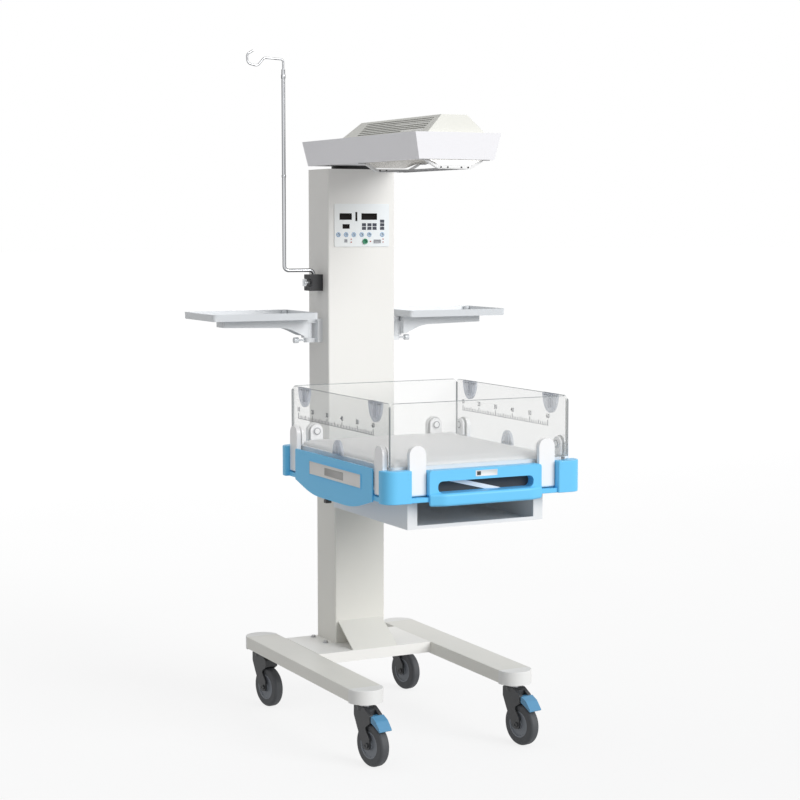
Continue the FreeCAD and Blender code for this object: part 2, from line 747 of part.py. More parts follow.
# Heater housing: a pressed cover with sloping sides, vented by rows of slits
housing = body("heater_housing")
housing_top = f"({hood_high} + housing_height)"
loft(housing, "AdditiveLoft", "xy",
     [(housing_plan("housing_base_half", "housing_base_front", "housing_base_back"), hood_high),
      (housing_plan("housing_top_half", "housing_top_front", "housing_top_back"), housing_top)])
loft(housing, "SubtractiveLoft", "xy",
     [(housing_plan("housing_base_half", "housing_base_front", "housing_base_back", "housing_wall"), hood_high),
      (housing_plan("housing_top_half", "housing_top_front", "housing_top_back", "housing_wall"),
       f"{housing_top} - housing_wall")])
vent = pocket(housing, "xy", [rectangle("-housing_base_half", "face - vent_front", "housing_base_half",
                                        "face - vent_back")], f"{hood_high} + vent_first", f"{hood_high} + vent_first + vent_height")
repeat(housing, vent, "z", "vent_count", "vent_pitch")
keep("heater_housing", housing)

# Reflector: a polished trough over the heaters, with end plates whose lower edges bow below the hood
reflector = body("reflector")
inner_half = "(reflector_half - reflector_wall)"
bend = "reflector_rise - 2"
roof = f"{hood_low} + reflector_rise"
ceiling = f"{hood_low} + reflector_rise - reflector_wall"
trough = [("-reflector_half", hood_low), ("-reflector_half", roof, bend), ("reflector_half", roof, bend),
          ("reflector_half", hood_low)]
inside = [(f"-{inner_half}", f"{hood_low} - 1"), (f"-{inner_half}", ceiling, f"{bend} - reflector_wall"),
          (inner_half, ceiling, f"{bend} - reflector_wall"), (inner_half, f"{hood_low} - 1")]
reflector_y = ("face - reflector_front", "face - reflector_back")
pad(reflector, "xz", [trough], *reflector_y)
pocket(reflector, "xz", [inside], f"{reflector_y[0]} + reflector_wall", f"{reflector_y[1]} - reflector_wall")
flange_z = (f"{hood_low} + hood_wall", f"{hood_low} + hood_wall + reflector_wall")
for side in SIDES.values():
    flange_x = span(side, "reflector_half - reflector_wall / 2", "reflector_half + reflector_flange")
    pad(reflector, "xy", [rectangle(flange_x[0], reflector_y[0], flange_x[1], reflector_y[1])], *flange_z)
bow_half = "(reflector_half - 8)"
bow = [(f"-{bow_half}", f"{hood_low} + 1"), ("-reflector_half / 2", f"{hood_low} - reflector_drop", "60"),
       ("reflector_half / 2", f"{hood_low} - reflector_drop", "60"), (bow_half, f"{hood_low} + 1")]
for edge in (reflector_y[0], f"{reflector_y[1]} - reflector_wall"):
    pad(reflector, "xz", [bow], edge, f"{edge} + reflector_wall")
keep("reflector", reflector)

# Heaters: two ceramic-ended tubes along the trough
heaters = []
heater_z = f"{hood_low} + heater_height"
for side in SIDES.values():
    ends = ("face - reflector_front + reflector_wall", "face - reflector_back - reflector_wall")
    tube = rod("heater_tube", "y", "heater_radius", ends, (f"{side} * heater_spread", heater_z))
    near = f"{side} * heater_spread - holder_size / 2", f"{side} * heater_spread + holder_size / 2"
    high = f"{heater_z} - holder_size / 2", f"{heater_z} + holder_size / 2"
    first = block("heater_holder", near, (ends[0], f"{ends[0]} + 14"), high)
    last = block("heater_holder", near, (f"{ends[1]} - 14", ends[1]), high)
    heaters.append(fuse("heater", tube, first, last))
keep("heater_tubes", group("heater_tubes", *heaters))

# Wire guard: two bent strips under the mouth with four wires between them
strips = []
for reach in ("guard_front", "guard_back"):
    strip = body("guard_strip")
    low = f"{hood_low} - guard_drop"
    under = f"{hood_low} - guard_wall"
    pad(strip, "xz", [[("-guard_half - guard_foot", hood_low), ("-guard_half - guard_foot", under),
                       ("-guard_half", under), ("-guard_low_half", low), ("guard_low_half", low),
                       ("guard_half", under), ("guard_half + guard_foot", under),
                       ("guard_half + guard_foot", hood_low), ("guard_half - 1", hood_low),
                       ("guard_low_half - 1", f"{low} + guard_wall"), ("-guard_low_half + 1", f"{low} + guard_wall"),
                       ("-guard_half + 1", hood_low)]],
        f"face - {reach} - guard_strip / 2", f"face - {reach} + guard_strip / 2")
    strips.append(strip)
wires = [rod("guard_wire", "y", "wire_radius", ("face - guard_front - 8", "face - guard_back + 8"),
             (f"{side} * {out}", f"{hood_low} - guard_drop")) for side in SIDES.values() for out in ("wire_inner", "wire_outer")]
keep("wire_guard", fuse("wire_guard", *strips, *wires))

# Tray brackets: a plate on the column's side with two lugs and a pin, and a clamp screw in the lower lug
brackets = []
TRAY_Y = "face + tray_pin_back"
arm_low, arm_high = "bracket_low + bracket_lug + lug_play", "tray_low - bracket_lug - lug_play"
for name, side in SIDES.items():
    pin_x = f"{side} * tray_pin_out"
    y = (f"{TRAY_Y} - bracket_depth / 2", f"{TRAY_Y} + bracket_depth / 2")
    backing = block("bracket_plate", span(side, "upper_width / 2", "upper_width / 2 + bracket_plate"), y,
                    ("bracket_low", "tray_low - 1"))
    lugs = []
    for low, high in (("bracket_low", "bracket_low + bracket_lug"), ("tray_low - bracket_lug", "tray_low - 1")):
        lugs.append(block("bracket_lug", span(side, "upper_width / 2 + bracket_plate - 1", "tray_pin_out"),
                          (f"{TRAY_Y} - bracket_nose", f"{TRAY_Y} + bracket_nose"), (low, high)))
        lugs.append(rod("bracket_nose", "z", "bracket_nose", (low, high), (pin_x, TRAY_Y)))
    pin = rod("bracket_pin", "z", "tray_pin_radius", ("bracket_low + 1", "tray_low - 2"), (pin_x, TRAY_Y))
    hole = rod("screw_hole", "x", "screw_radius + running_gap",
               span(side, "tray_pin_out + tray_pin_radius + 1", "tray_pin_out + bracket_nose + 1"),
               (TRAY_Y, "bracket_low + bracket_lug / 2"))
    brackets.append(cut(name + "_bracket", fuse("bracket", backing, pin, *lugs), hole))

    # Arm: folded sheet that tapers outwards in a gooseneck under the tray
    arm = body(name + "_tray_arm")
    tip, root = "tray_low", "tray_pin_out"
    view = [(f"{side} * ({root} + 16)", tip), (f"{side} * arm_out", tip), (f"{side} * arm_out", f"{tip} - arm_end_height"),
            (f"{side} * arm_bend", f"{tip} - arm_end_height - 5", "120"),
            (f"{side} * ({root} + 28)", f"{tip} - arm_root_height - 8", "20"), (f"{side} * ({root} + 16)", f"{tip} - arm_root_height - 10")]
    arm_y = (f"{TRAY_Y} - arm_depth / 2", f"{TRAY_Y} + arm_depth / 2")
    pad(arm, "xz", [view], *arm_y)
    pocket(arm, "xy", [rectangle(span(side, f"{root} + 16 + arm_wall", "arm_out - arm_wall")[0], f"{arm_y[0]} + arm_wall",
                                 span(side, f"{root} + 16 + arm_wall", "arm_out - arm_wall")[1], f"{arm_y[1]} - arm_wall")],
           f"{tip} - arm_root_height - 12", f"{tip} - arm_wall")
    pad(arm, "xy", [rectangle(span(side, root, f"{root} + 18")[0], f"{TRAY_Y} - 11",
                              span(side, root, f"{root} + 18")[1], f"{TRAY_Y} + 11")], arm_low, arm_high)
    pad(arm, "xy", [("circle", pin_x, TRAY_Y, "12")], arm_low, arm_high)
    pocket(arm, "xy", [("circle", pin_x, TRAY_Y, "tray_pin_radius + running_gap")], f"{arm_low} - 1", f"{arm_high} + 1")
    keep(name + "_tray_arm", arm)

    # Tray: pressed dish with a flared rim and a drilled lug in each corner
    tray = body(name + "_tray")
    x_low, x_high = span(side, "tray_inner", "tray_outer")
    y_low, y_high = "face - tray_front", "face - tray_front + tray_depth"
    flare = "3"
    loft(tray, "AdditiveLoft", "xy",
         [(rectangle(f"{x_low} + {flare}", f"{y_low} + {flare}", f"{x_high} - {flare}", f"{y_high} - {flare}", "tray_round - 2"), "tray_low"),
          (rectangle(x_low, y_low, x_high, y_high, "tray_round"), "tray_low + tray_height")])
    loft(tray, "SubtractiveLoft", "xy",
         [(rectangle(f"{x_low} + {flare} + tray_wall", f"{y_low} + {flare} + tray_wall", f"{x_high} - {flare} - tray_wall",
                     f"{y_high} - {flare} - tray_wall", "tray_round - 5"), "tray_low + tray_wall"),
          (rectangle(f"{x_low} + tray_wall", f"{y_low} + tray_wall", f"{x_high} - tray_wall", f"{y_high} - tray_wall",
                     "tray_round - 3"), "tray_low + tray_height")])
    edge = "(lug_radius + 2)"
    spots = [(x, y) for x in (f"{x_low} + {edge}", f"{x_high} - {edge}") for y in (f"{y_low} + {edge}", f"{y_high} - {edge}")]
    pad(tray, "xy", [("circle", x, y, "lug_radius") for x, y in spots], "tray_low + 1", "tray_low + tray_height - 1")
    pocket(tray, "xy", [("circle", x, y, "lug_hole") for x, y in spots], "tray_low + tray_wall", "tray_low + tray_height")
    keep(name + "_tray", tray)

    # Clamp screw: a threaded shank with a round grip
    grip = span(side, "tray_pin_out + bracket_nose + screw_length - 14", "tray_pin_out + bracket_nose + screw_length")
    shank = rod("screw_shank", "x", "screw_radius",
                span(side, "tray_pin_out + tray_pin_radius + 2", "tray_pin_out + bracket_nose + screw_length - 7"),
                (TRAY_Y, "bracket_low + bracket_lug / 2"))
    knob = rod("screw_knob", "x", "screw_grip", grip, (TRAY_Y, "bracket_low + bracket_lug / 2"))
    keep(name + "_tray_screw", fuse(name + "_tray_screw", shank, knob))
keep("tray_brackets", group("tray_brackets", *brackets))

# Pole clamp: a cast block on the column's left side, notched for the wing screw and bored for the pole
clamp_x = ("-upper_width / 2 - clamp_width - 14", "-upper_width / 2")
clamp_y = ("face + clamp_back", "face + clamp_back + clamp_depth")
clamp_z = ("clamp_low", "clamp_low + clamp_height")
CLAMP_MID = "clamp_low + clamp_height / 2"
POLE_Y = "face + pole_back"
clamp = body("pole_clamp")
pad(clamp, "xz", [[(clamp_x[0], clamp_z[0], "2"), (clamp_x[1], clamp_z[0]), (clamp_x[1], clamp_z[1]), (clamp_x[0], clamp_z[1], "2"),
                   (clamp_x[0], f"{CLAMP_MID} + clamp_notch", "1"), (f"{clamp_x[0]} + 8", f"{CLAMP_MID} + clamp_notch - 3", "2"),
                   (f"{clamp_x[0]} + 8", f"{CLAMP_MID} - clamp_notch + 3", "2"), (clamp_x[0], f"{CLAMP_MID} - clamp_notch", "1")]],
    *clamp_y)
pocket(clamp, "xy", [("circle", "-pole_out", POLE_Y, "pole_radius + running_gap")], f"{clamp_z[1]} - pole_socket", clamp_z[1])
pocket(clamp, "yz", [("circle", POLE_Y, CLAMP_MID, "screw_radius + running_gap")], clamp_x[0], "-pole_out - pole_radius - 1.5")
keep("pole_clamp", clamp)

# Pole knob: a wing screw that pinches the pole in its clamp
knob_x = f"{clamp_x[0]} + 8"
shank = rod("knob_shank", "x", "screw_radius", (f"{knob_x} - 14", "-pole_out - pole_radius - 2"), (POLE_Y, CLAMP_MID))
boss = rod("knob_boss", "x", "screw_radius + 3", (f"{knob_x} - 18", f"{knob_x} - 9"), (POLE_Y, CLAMP_MID))
wings = block("knob_wings", (f"{knob_x} - 22", f"{knob_x} - 12"), (f"{POLE_Y} - 2", f"{POLE_Y} + 2"),
              (f"{CLAMP_MID} - knob_radius", f"{CLAMP_MID} + knob_radius"))
keep("pole_knob", fuse("pole_knob", shank, boss, wings))


def bent_bar(name, points, radius, inner=None):
    """A bar swept along straight runs joined by tangent arcs. A point is (x, y, z, bend radius)."""
    spots = [Vector(size(x), size(y), size(z)) for x, y, z, bend in points]
    edges, start = [], spots[0]
    for i in range(1, len(spots) - 1):
        back, ahead = (spots[i - 1] - spots[i]).normalize(), (spots[i + 1] - spots[i]).normalize()
        half = back.getAngle(ahead) / 2
        bend = size(points[i][3])
        enter, leave = spots[i] + back * (bend / math.tan(half)), spots[i] + ahead * (bend / math.tan(half))
        middle = spots[i] + (back + ahead).normalize() * (bend / math.sin(half) - bend)
        edges += [Part.LineSegment(start, enter).toShape(), Part.Arc(enter, middle, leave).toShape()]
        start = leave
    edges.append(Part.LineSegment(start, spots[-1]).toShape())
    path = Part.Wire(edges)
    bars = []
    for width in [radius] + ([inner] if inner else []):
        ring = Part.Wire([Part.Circle(spots[0], spots[1] - spots[0], size(width)).toShape()])
        bars.append(path.makePipeShell([ring], True, True))
    thing = doc.addObject("Part::Feature", name)
    thing.Shape = bars[0].cut(bars[1]) if inner else bars[0]
    return thing


# Pole: bent chrome tube, up out of the clamp, across to the left and up again; its top is open for the hook rod
pole_points = [("-pole_out", POLE_Y, f"{clamp_z[1]} - pole_socket + 1", "0"),
               ("-pole_out", POLE_Y, "pole_bend_height", "pole_bend_radius"),
               ("-pole_upright", POLE_Y, "pole_bend_height", "pole_bend_radius"),
               ("-pole_upright", POLE_Y, "pole_top", "0")]
keep("pole_tube", bent_bar("pole_tube", pole_points, "pole_radius", "hook_radius + running_gap"))

# Hook rod: a thin chrome rod that slides in the pole and ends in an open hook
hook_points = [("-pole_upright", POLE_Y, "hook_top - hook_slot", "0"),
               ("-pole_upright", POLE_Y, "hook_top + 17", "8"),
               ("-pole_upright - 62", POLE_Y, "hook_top + 20", "12"),
               ("-pole_upright - 84", POLE_Y, "hook_top - 5", "14"),
               ("-pole_upright - 116", POLE_Y, "hook_top + 1", "14"),
               ("-pole_upright - 118", POLE_Y, "hook_top + 28", "12"),
               ("-pole_upright - 98", POLE_Y, "hook_top + 40", "0")]
keep("hook_rod", bent_bar("hook_rod", hook_points, "hook_radius"))

# Tilt shaft and its carrier: welded plates on the column's front that hold the bassinet's axle
TILT = ("face - tilt_forward", "tilt_height")
carrier = body("tilt_carrier")
boss = "tilt_radius + 10"
arm_view = [("face", "arm_root_low"), ("face", "arm_root_high"), ("face - 118", "arm_root_high", "30"),
            (f"{TILT[0]} + 8", f"{TILT[1]} + 14", "12"), (f"{TILT[0]} - 20", f"{TILT[1]} + 14", "14"),
            (f"{TILT[0]} - 20", f"{TILT[1]} - 22", "16"), ("face - 120", "arm_root_low", "40")]
pad(carrier, "yz", [arm_view], "-arm_plate_half", "arm_plate_half")
pocket(carrier, "xy", [rectangle("-arm_plate_half + arm_plate_wall", f"{TILT[0]} - 22", "arm_plate_half - arm_plate_wall",
                                 "face - arm_plate_wall")], "arm_root_low - 1", "tilt_height + 30")
pad(carrier, "xz", [rectangle("-arm_plate_half - 16", "arm_root_low", "arm_plate_half + 16", "arm_root_high")],
    "face - arm_plate_wall", "face")
pocket(carrier, "yz", [("circle",) + TILT + ("tilt_radius",)], "-arm_plate_half - 1", "arm_plate_half + 1")
keep("tilt_carrier", carrier)
keep("tilt_shaft", rod("tilt_shaft", "x", "tilt_radius", ("-tilt_half", "tilt_half"), TILT))

# Chassis: welded cross rails, two sloping braces and bearing sleeves that turn on the tilt shaft
rail_low, rail_high = "ledge_low + ledge_height", "ledge_low + ledge_height + rail_height"
chassis = body("bed_chassis")
for reach in ("front_rail", "rear_rail"):
    pad(chassis, "xy", [rectangle("-rail_half", f"face - {reach}", "rail_half", f"face - {reach} + rail_width")],
        rail_low, rail_high)
for side in SIDES.values():
    near, far = f"{side} * (bearing_inner + 16)", f"{side} * brace_front_half"
    lean = f"{side} * rail_width / 2"
    pad(chassis, "xy", [[(f"{far} - {lean}", "face - front_rail + 2"), (f"{far} + {lean}", "face - front_rail + 2"),
                         (f"{near} + {lean}", "face - rear_rail + 2"), (f"{near} - {lean}", "face - rear_rail + 2")]],
        rail_low, f"{rail_high} - 3")
    sleeve = span(side, "bearing_inner", "tilt_half - 4")
    pad(chassis, "yz", [[(f"{TILT[0]} - bearing_radius", f"{rail_low} + 4"), (f"{TILT[0]} - bearing_radius", f"{TILT[1]} - bearing_radius", "bearing_radius - 1"),
                         (f"{TILT[0]} + bearing_radius", f"{TILT[1]} - bearing_radius", "bearing_radius - 1"),
                         (f"{TILT[0]} + bearing_radius", f"{rail_low} + 4")]], *sleeve)
    pad(chassis, "yz", [("circle",) + TILT + ("bearing_radius",)], *sleeve)
pocket(chassis, "yz", [("circle",) + TILT + ("tilt_radius + running_gap",)], "-tilt_half - 1", "tilt_half + 1")
LEVER_Y = "face - rear_rail + rail_width / 2"
pad(chassis, "xy", [rectangle("-lever_out - 12", f"{LEVER_Y} - 5", "-lever_out + 12", f"{LEVER_Y} + 5")],
    "lever_height - 10", rail_low)
pocket(chassis, "xz", [("circle", "-lever_out", "lever_height", "lever_pin + running_gap")], f"{LEVER_Y} - 6", f"{LEVER_Y} + 6")
keep("bed_chassis", chassis)

# Tilt lever: a small bar on a pin under the chassis, with a moulded grip
lever_pin = rod("lever_pin", "y", "lever_pin", (f"{LEVER_Y} - 16", f"{LEVER_Y} + 8"), ("-lever_out", "lever_height"))
lever_head = rod("lever_head", "y", "lever_pin + 4", (f"{LEVER_Y} + 6", f"{LEVER_Y} + 10"), ("-lever_out", "lever_height"))
lever_bar = block("lever_bar", ("-lever_out - 5", "-lever_out + 5"), (f"{LEVER_Y} - 16", f"{LEVER_Y} - 10"),
                  ("lever_height - 26", "lever_height + 6"))
lever_grip = block("lever_grip", ("-lever_out - 9", "-lever_out + 9"), (f"{LEVER_Y} - 26", f"{LEVER_Y} - 10"),
                   ("lever_height - 34", "lever_height - 24"))
keep("tilt_lever", fuse("tilt_lever", lever_pin, lever_head, lever_bar, lever_grip))

# Bed frame: a moulded blue ledge round the bassinet with an upstanding guard at each corner
frame = body("bed_frame")
ledge = rectangle("-ledge_half", "face - ledge_front", "ledge_half", "face - ledge_back", "20")
hollow = rectangle("-ledge_half + ledge_width", "face - ledge_front + ledge_width",
                   "ledge_half - ledge_width", "face - ledge_back - ledge_width", "10")
pad(frame, "xy", [ledge, hollow], "ledge_low", "ledge_low + ledge_height")
post_edge = "post_half + 2"
pane_out = "pane_wall / 2 + 1"
for side in SIDES.values():
    for outer, pane, near in (("face - bed_front", "face - pane_front", "face - post_near_front"),
                              ("face - bed_back", "face - pane_back", "face - post_near_back")):
        sign = -1 if "front" in outer else 1
        x = [f"{side} * ({part})" for part in (f"post_across + {post_edge}", "bed_half", f"pane_half + {pane_out}")]
        y_pane = f"{pane} + {sign} * ({pane_out})"
        y_post = f"{near} + {sign} * ({post_edge})"
        pad(frame, "xy", [[(x[0], outer, "4"), (x[1], outer, "guard_round"), (x[1], y_post, "4"), (x[2], y_post),
                           (x[2], y_pane), (x[0], y_pane)]], "ledge_low", "guard_top")
soften(frame, "2", lambda edge: lies(edge, "z", "guard_top") or lies(edge, "z", "ledge_low"))
ledge_top = "ledge_low + ledge_height"
pivot_out = "(pane_wall / 2 + post_gap + post_wall / 2)"
SIDE_PIVOT = f"pane_half + {pivot_out}"
FRONT_PIVOT = f"face - pane_front - {pivot_out}"
for side in SIDES.values():
    ear_x = span(side, f"{SIDE_PIVOT} - post_wall / 2", f"{SIDE_PIVOT} + post_wall / 2")
    for post, inward in (("face - post_near_front", 1), ("face - post_near_back", -1)):
        ear_y = span(inward, "post_half + ear_gap", "post_half + ear_gap + ear_width")
        pad(frame, "xy", [rectangle(ear_x[0], f"{post} + {ear_y[0]}", ear_x[1], f"{post} + {ear_y[1]}")],
            f"{ledge_top} - 1", f"{ledge_top} + ear_height")
        bore = (f"{post} - post_half - trunnion_length - 1", f"{post} + post_half + trunnion_length + 1")
        pocket(frame, "xz", [("circle", f"{side} * ({SIDE_PIVOT})", "post_pivot", "trunnion_radius + running_gap")], *bore)
    bore = span(side, "post_across", "post_across + post_half + trunnion_length + 1")
    pocket(frame, "yz", [("circle", FRONT_PIVOT, "post_pivot", "trunnion_radius + running_gap")], *bore)
    well_x = span(side, "post_across - post_half - socket_gap", "post_across + post_half + socket_gap")
    well_y = ("face - pane_back + pane_wall / 2 + post_gap - socket_gap",
              "face - pane_back + pane_wall / 2 + post_gap + post_wall + socket_gap")
    pad(frame, "xy", [rectangle(f"{well_x[0]} - socket_wall", f"{well_y[0]} - socket_wall",
                                f"{well_x[1]} + socket_wall", f"{well_y[1]} + socket_wall"),
                      rectangle(well_x[0], well_y[0], well_x[1], well_y[1])],
        f"{ledge_top} - 1", f"{ledge_top} + socket_height")
keep("bed_frame", frame)

# Front handle: a moulded panel with a hand slot and a bowed grip bar below it
handle = body("handle_plate")
pad(handle, "xz", [rectangle("-handle_half", f"ledge_low + ledge_height", "handle_half", "handle_top", "8"),
                   rectangle("-slot_half", "slot_low", "slot_half", "slot_high", "slot_round")],
    "face - handle_front", "face - handle_back")
for side in SIDES.values():
    pocket(handle, "yz", [("circle", FRONT_PIVOT, "post_pivot", "trunnion_radius + running_gap")],
           *span(side, "handle_half - trunnion_length", "handle_half"))
bar = body("handle_bar")
bulge = "face - handle_front - bar_bulge"
pad(bar, "xy", [[("-handle_half", "face - ledge_front"), ("-handle_half", "face - handle_front - 3", "3"),
                 ("-handle_half + 40", bulge, "60"), ("handle_half - 40", bulge, "60"),
                 ("handle_half", "face - handle_front - 3", "3"), ("handle_half", "face - ledge_front")]],
    "bar_low", "slot_low")
soften(bar, "8", lambda edge: lies(edge, "z", "bar_low") and not lies(edge, "y", "face - ledge_front")
       or lies(edge, "z", "slot_low") and not lies(edge, "y", "face - ledge_front"))
keep("front_handle", fuse("front_handle", handle, bar))

# Side skirts: thin moulded covers with a bowed lower edge and a raised border round the name plate's place
skirts = []
middle = "face - (skirt_front + skirt_back) / 2"
for name, side in SIDES.items():
    skirt = body(name + "_skirt")
    x = span(side, "ledge_half", "ledge_half + skirt_wall")
    sketch_points = [("face - skirt_front", "skirt_top", "6"), ("face - skirt_front", "skirt_end_low"),
                     ("face - skirt_front + 120", "skirt_mid_low", "420"), ("face - skirt_back - 120", "skirt_mid_low", "420"),
                     ("face - skirt_back", "skirt_end_low"), ("face - skirt_back", "skirt_top", "6")]
    pad(skirt, "yz", [sketch_points], *x)
    border = span(side, "ledge_half + skirt_wall - 0.5", "ledge_half + skirt_wall + 1.5")
    pad(skirt, "yz", [rectangle("face - 614", "799", "face - 267", "843", "4"),
                      rectangle("face - 611", "802", "face - 270", "840", "2")], *border)
    tab = span(side, "ledge_half - skirt_tab", "ledge_half + 1")
    pad(skirt, "yz", [rectangle(f"{middle} - 200", "ledge_low + ledge_height", f"{middle} - 170", "ledge_low + ledge_height + 4"),
                      rectangle(f"{middle} + 170", "ledge_low + ledge_height", f"{middle} + 200", "ledge_low + ledge_height + 4")], *tab)
    skirts.append(skirt)
keep("side_skirts", group("side_skirts", *skirts))

# Deck: a moulded white pan that carries the mattress, on four feet
deck = body("deck")
deck_y = ("face - deck_front", "face - deck_back")
pad(deck, "xy", [rectangle("-deck_half", deck_y[0], "deck_half", deck_y[1], "14")], "deck_floor", "deck_floor + deck_height")
pocket(deck, "xy", [rectangle("-deck_half + deck_wall", f"{deck_y[0]} + deck_wall", "deck_half - deck_wall",
                              f"{deck_y[1]} - deck_wall", "11")], "deck_floor + deck_wall", "deck_floor + deck_height")
foot = [rectangle(f"{side} * 200 - 25", f"face - {reach} + 1", f"{side} * 200 + 25", f"face - {reach} + rail_width - 1")
        for side in SIDES.values() for reach in ("front_rail", "rear_rail")]
pad(deck, "xy", foot, rail_high, "deck_floor + 1")
keep("deck", deck)

# Mattress: a plain block of foam that lies in the deck
mattress = body("mattress")
pad(mattress, "xy", [rectangle("-deck_half + mattress_inset", f"{deck_y[0]} + mattress_inset", "deck_half - mattress_inset",
                               f"{deck_y[1]} - mattress_inset", "16")], "deck_floor + deck_wall + mattress_gap", "mattress_top")
soften(mattress, "5", lambda edge: lies(edge, "z", "mattress_top"))
keep("mattress", mattress)

# Under-shelf: folded sheet tray between two boxed side channels, open to the front
shelf = body("under_shelf")
shelf_y = ("face - shelf_front", "face - shelf_back")
pad(shelf, "xy", [rectangle("-shelf_half", shelf_y[0], "shelf_half", shelf_y[1])], "shelf_low", rail_low)
inner_half = "(shelf_half - shelf_channel)"
pocket(shelf, "xy", [rectangle(f"-{inner_half}", f"{shelf_y[0]} - 1", inner_half, f"{shelf_y[1]} - shelf_wall")],
       "shelf_low + shelf_wall", rail_low)
for side in SIDES.values():
    x = span(side, f"{inner_half} + shelf_wall", "shelf_half - shelf_wall")
    pocket(shelf, "xy", [rectangle(x[0], f"{shelf_y[0]} + shelf_wall", x[1], f"{shelf_y[1]} - shelf_wall")],
           "shelf_low + shelf_wall", rail_low)
pad(shelf, "xy", [rectangle(f"-{inner_half} - 1", shelf_y[0], f"{inner_half} + 1", f"{shelf_y[0]} + shelf_wall")],
    "shelf_low", "shelf_low + shelf_lip")
keep("under_shelf", shelf)


def pane_with_arms(name, across, outward, low, high, posts):
    """A clear panel and the two arms that grip it. across is the axis that the panel runs along, outward is -1
    or 1 along the other one, low and high are the panel's ends, posts the places of its arms."""
    plane, end_plane = ("yz", "xz") if across == "y" else ("xz", "yz")
    front_or_rear = "face - pane_front" if outward < 0 else "face - pane_back"
    middle = f"{outward} * pane_half" if across == "y" else front_or_rear
    folds = name != "rear"

    def layers(near, far):
        lower, upper = span(outward, near, far)
        return f"{middle} + {lower}", f"{middle} + {upper}"

    pane = body(name + "_pane")
    outline = [(low, "pane_low", "4"), (high, "pane_low", "4"), (high, "pane_top", "pane_round"),
               (low, "pane_top", "pane_round")]
    holes = [("circle", post, "disc_height", "pin_radius + pin_gap") for post in posts]
    pad(pane, plane, [outline] + holes, *layers("-pane_wall / 2", "pane_wall / 2"))
    keep(name + "_pane", pane)

    arms = []
    inner = "pane_wall / 2 + post_gap"
    foot = "post_pivot - post_wall / 2" if folds else f"{ledge_top} + socket_gap"
    for post in posts:
        arm = body("pane_arm")
        ends = (f"{post} - post_half", f"{post} + post_half")
        round_top = "post_half - 1"
        pad(arm, plane, [[(ends[0], foot), (ends[1], foot), (ends[1], "post_top", round_top),
                          (ends[0], "post_top", round_top)]], *layers(inner, f"{inner} + post_wall"))
        if folds:
            soften(arm, "post_wall / 2 - 0.2", lambda edge: lies(edge, "z", foot) and runs(edge, across))
            pad(arm, end_plane, [("circle", f"{middle} + {outward} * {pivot_out}", "post_pivot", "trunnion_radius")],
                f"{ends[0]} - trunnion_length", f"{ends[1]} + trunnion_length")
        pad(arm, plane, [("circle", post, "disc_height", "pin_radius")], *layers(f"-({inner} + 1)", f"{inner} + 1"))
        clip = (f"{post} - clip_half", f"{post} + clip_half")
        pad(arm, plane, [[(clip[0], "clip_low", "3"), (clip[1], "clip_low", "3"), (clip[1], "clip_top", "clip_half - 1"),
                          (clip[0], "clip_top", "clip_half - 1")]], *layers(f"-({inner} + clip_wall)", f"-({inner})"))
        pad(arm, plane, [("circle", post, "disc_height", "disc_radius")],
            *layers(f"-({inner} + clip_wall + disc_wall)", f"-({inner} + clip_wall - 1)"))
        arms.append(arm)
    keep(name + "_pane_arms", group(name + "_pane_arms", *arms))


side_ends = ("face - pane_front + pane_corner_gap", "face - pane_back - pane_corner_gap")
side_posts = ("face - post_near_front", "face - post_near_back")
for name, side in SIDES.items():
    pane_with_arms(name, "y", side, *side_ends, side_posts)
cross_ends = ("-pane_half - pane_wall / 2", "pane_half + pane_wall / 2")
cross_posts = ("-post_across", "post_across")
pane_with_arms("front", "x", -1, *cross_ends, cross_posts)
pane_with_arms("rear", "x", 1, *cross_ends, cross_posts)

doc.recompute()
for thing in doc.Objects:
    if "Invalid" in thing.State or "Error" in thing.State:
        raise RuntimeError(f"{thing.Name} failed: {thing.State}")
os.makedirs("parts", exist_ok=True)
for thing in nodes:
    if thing.Shape.isNull() or not thing.Shape.isValid():
        raise RuntimeError(f"{thing.Label} has no valid shape")
    thing.Shape.exportStep(f"parts/{thing.Label}.step")
    print(thing.Label, len(thing.Shape.Solids), round(thing.Shape.Volume / 1000, 1))
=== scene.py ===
import math

import bmesh
import bpy
from mathutils import Matrix, Vector


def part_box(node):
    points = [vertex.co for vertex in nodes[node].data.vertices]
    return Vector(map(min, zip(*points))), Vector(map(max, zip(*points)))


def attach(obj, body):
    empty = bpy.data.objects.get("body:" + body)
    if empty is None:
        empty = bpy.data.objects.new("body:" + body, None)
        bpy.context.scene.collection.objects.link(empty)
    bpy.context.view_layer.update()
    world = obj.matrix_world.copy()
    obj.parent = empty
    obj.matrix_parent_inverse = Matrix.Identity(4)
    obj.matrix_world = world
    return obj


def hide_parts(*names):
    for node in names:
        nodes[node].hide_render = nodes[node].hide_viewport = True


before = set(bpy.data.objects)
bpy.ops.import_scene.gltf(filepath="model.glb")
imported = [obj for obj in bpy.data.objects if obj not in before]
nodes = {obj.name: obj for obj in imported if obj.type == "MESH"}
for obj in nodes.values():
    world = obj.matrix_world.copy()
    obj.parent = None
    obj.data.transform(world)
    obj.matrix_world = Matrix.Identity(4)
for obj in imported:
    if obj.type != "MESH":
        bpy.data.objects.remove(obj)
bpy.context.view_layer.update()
bpy.ops.object.select_all(action="DESELECT")

# Camera: it stands to the left of the bassinet and in front of it, a little above an adult's chest,
# and looks slightly down with a long lens, as the photograph does.
bpy.ops.object.camera_add(location=(-2.5013, -4.9104, 1.5192),
                          rotation=(math.radians(84.6565), 0, math.radians(-26.9947)))
camera = bpy.context.object
camera.name = "camera"
camera.data.sensor_width = 36
camera.data.lens = 83.71
camera.data.clip_end = 200
bpy.context.scene.camera = camera
bpy.context.scene.view_settings.view_transform = "Standard"


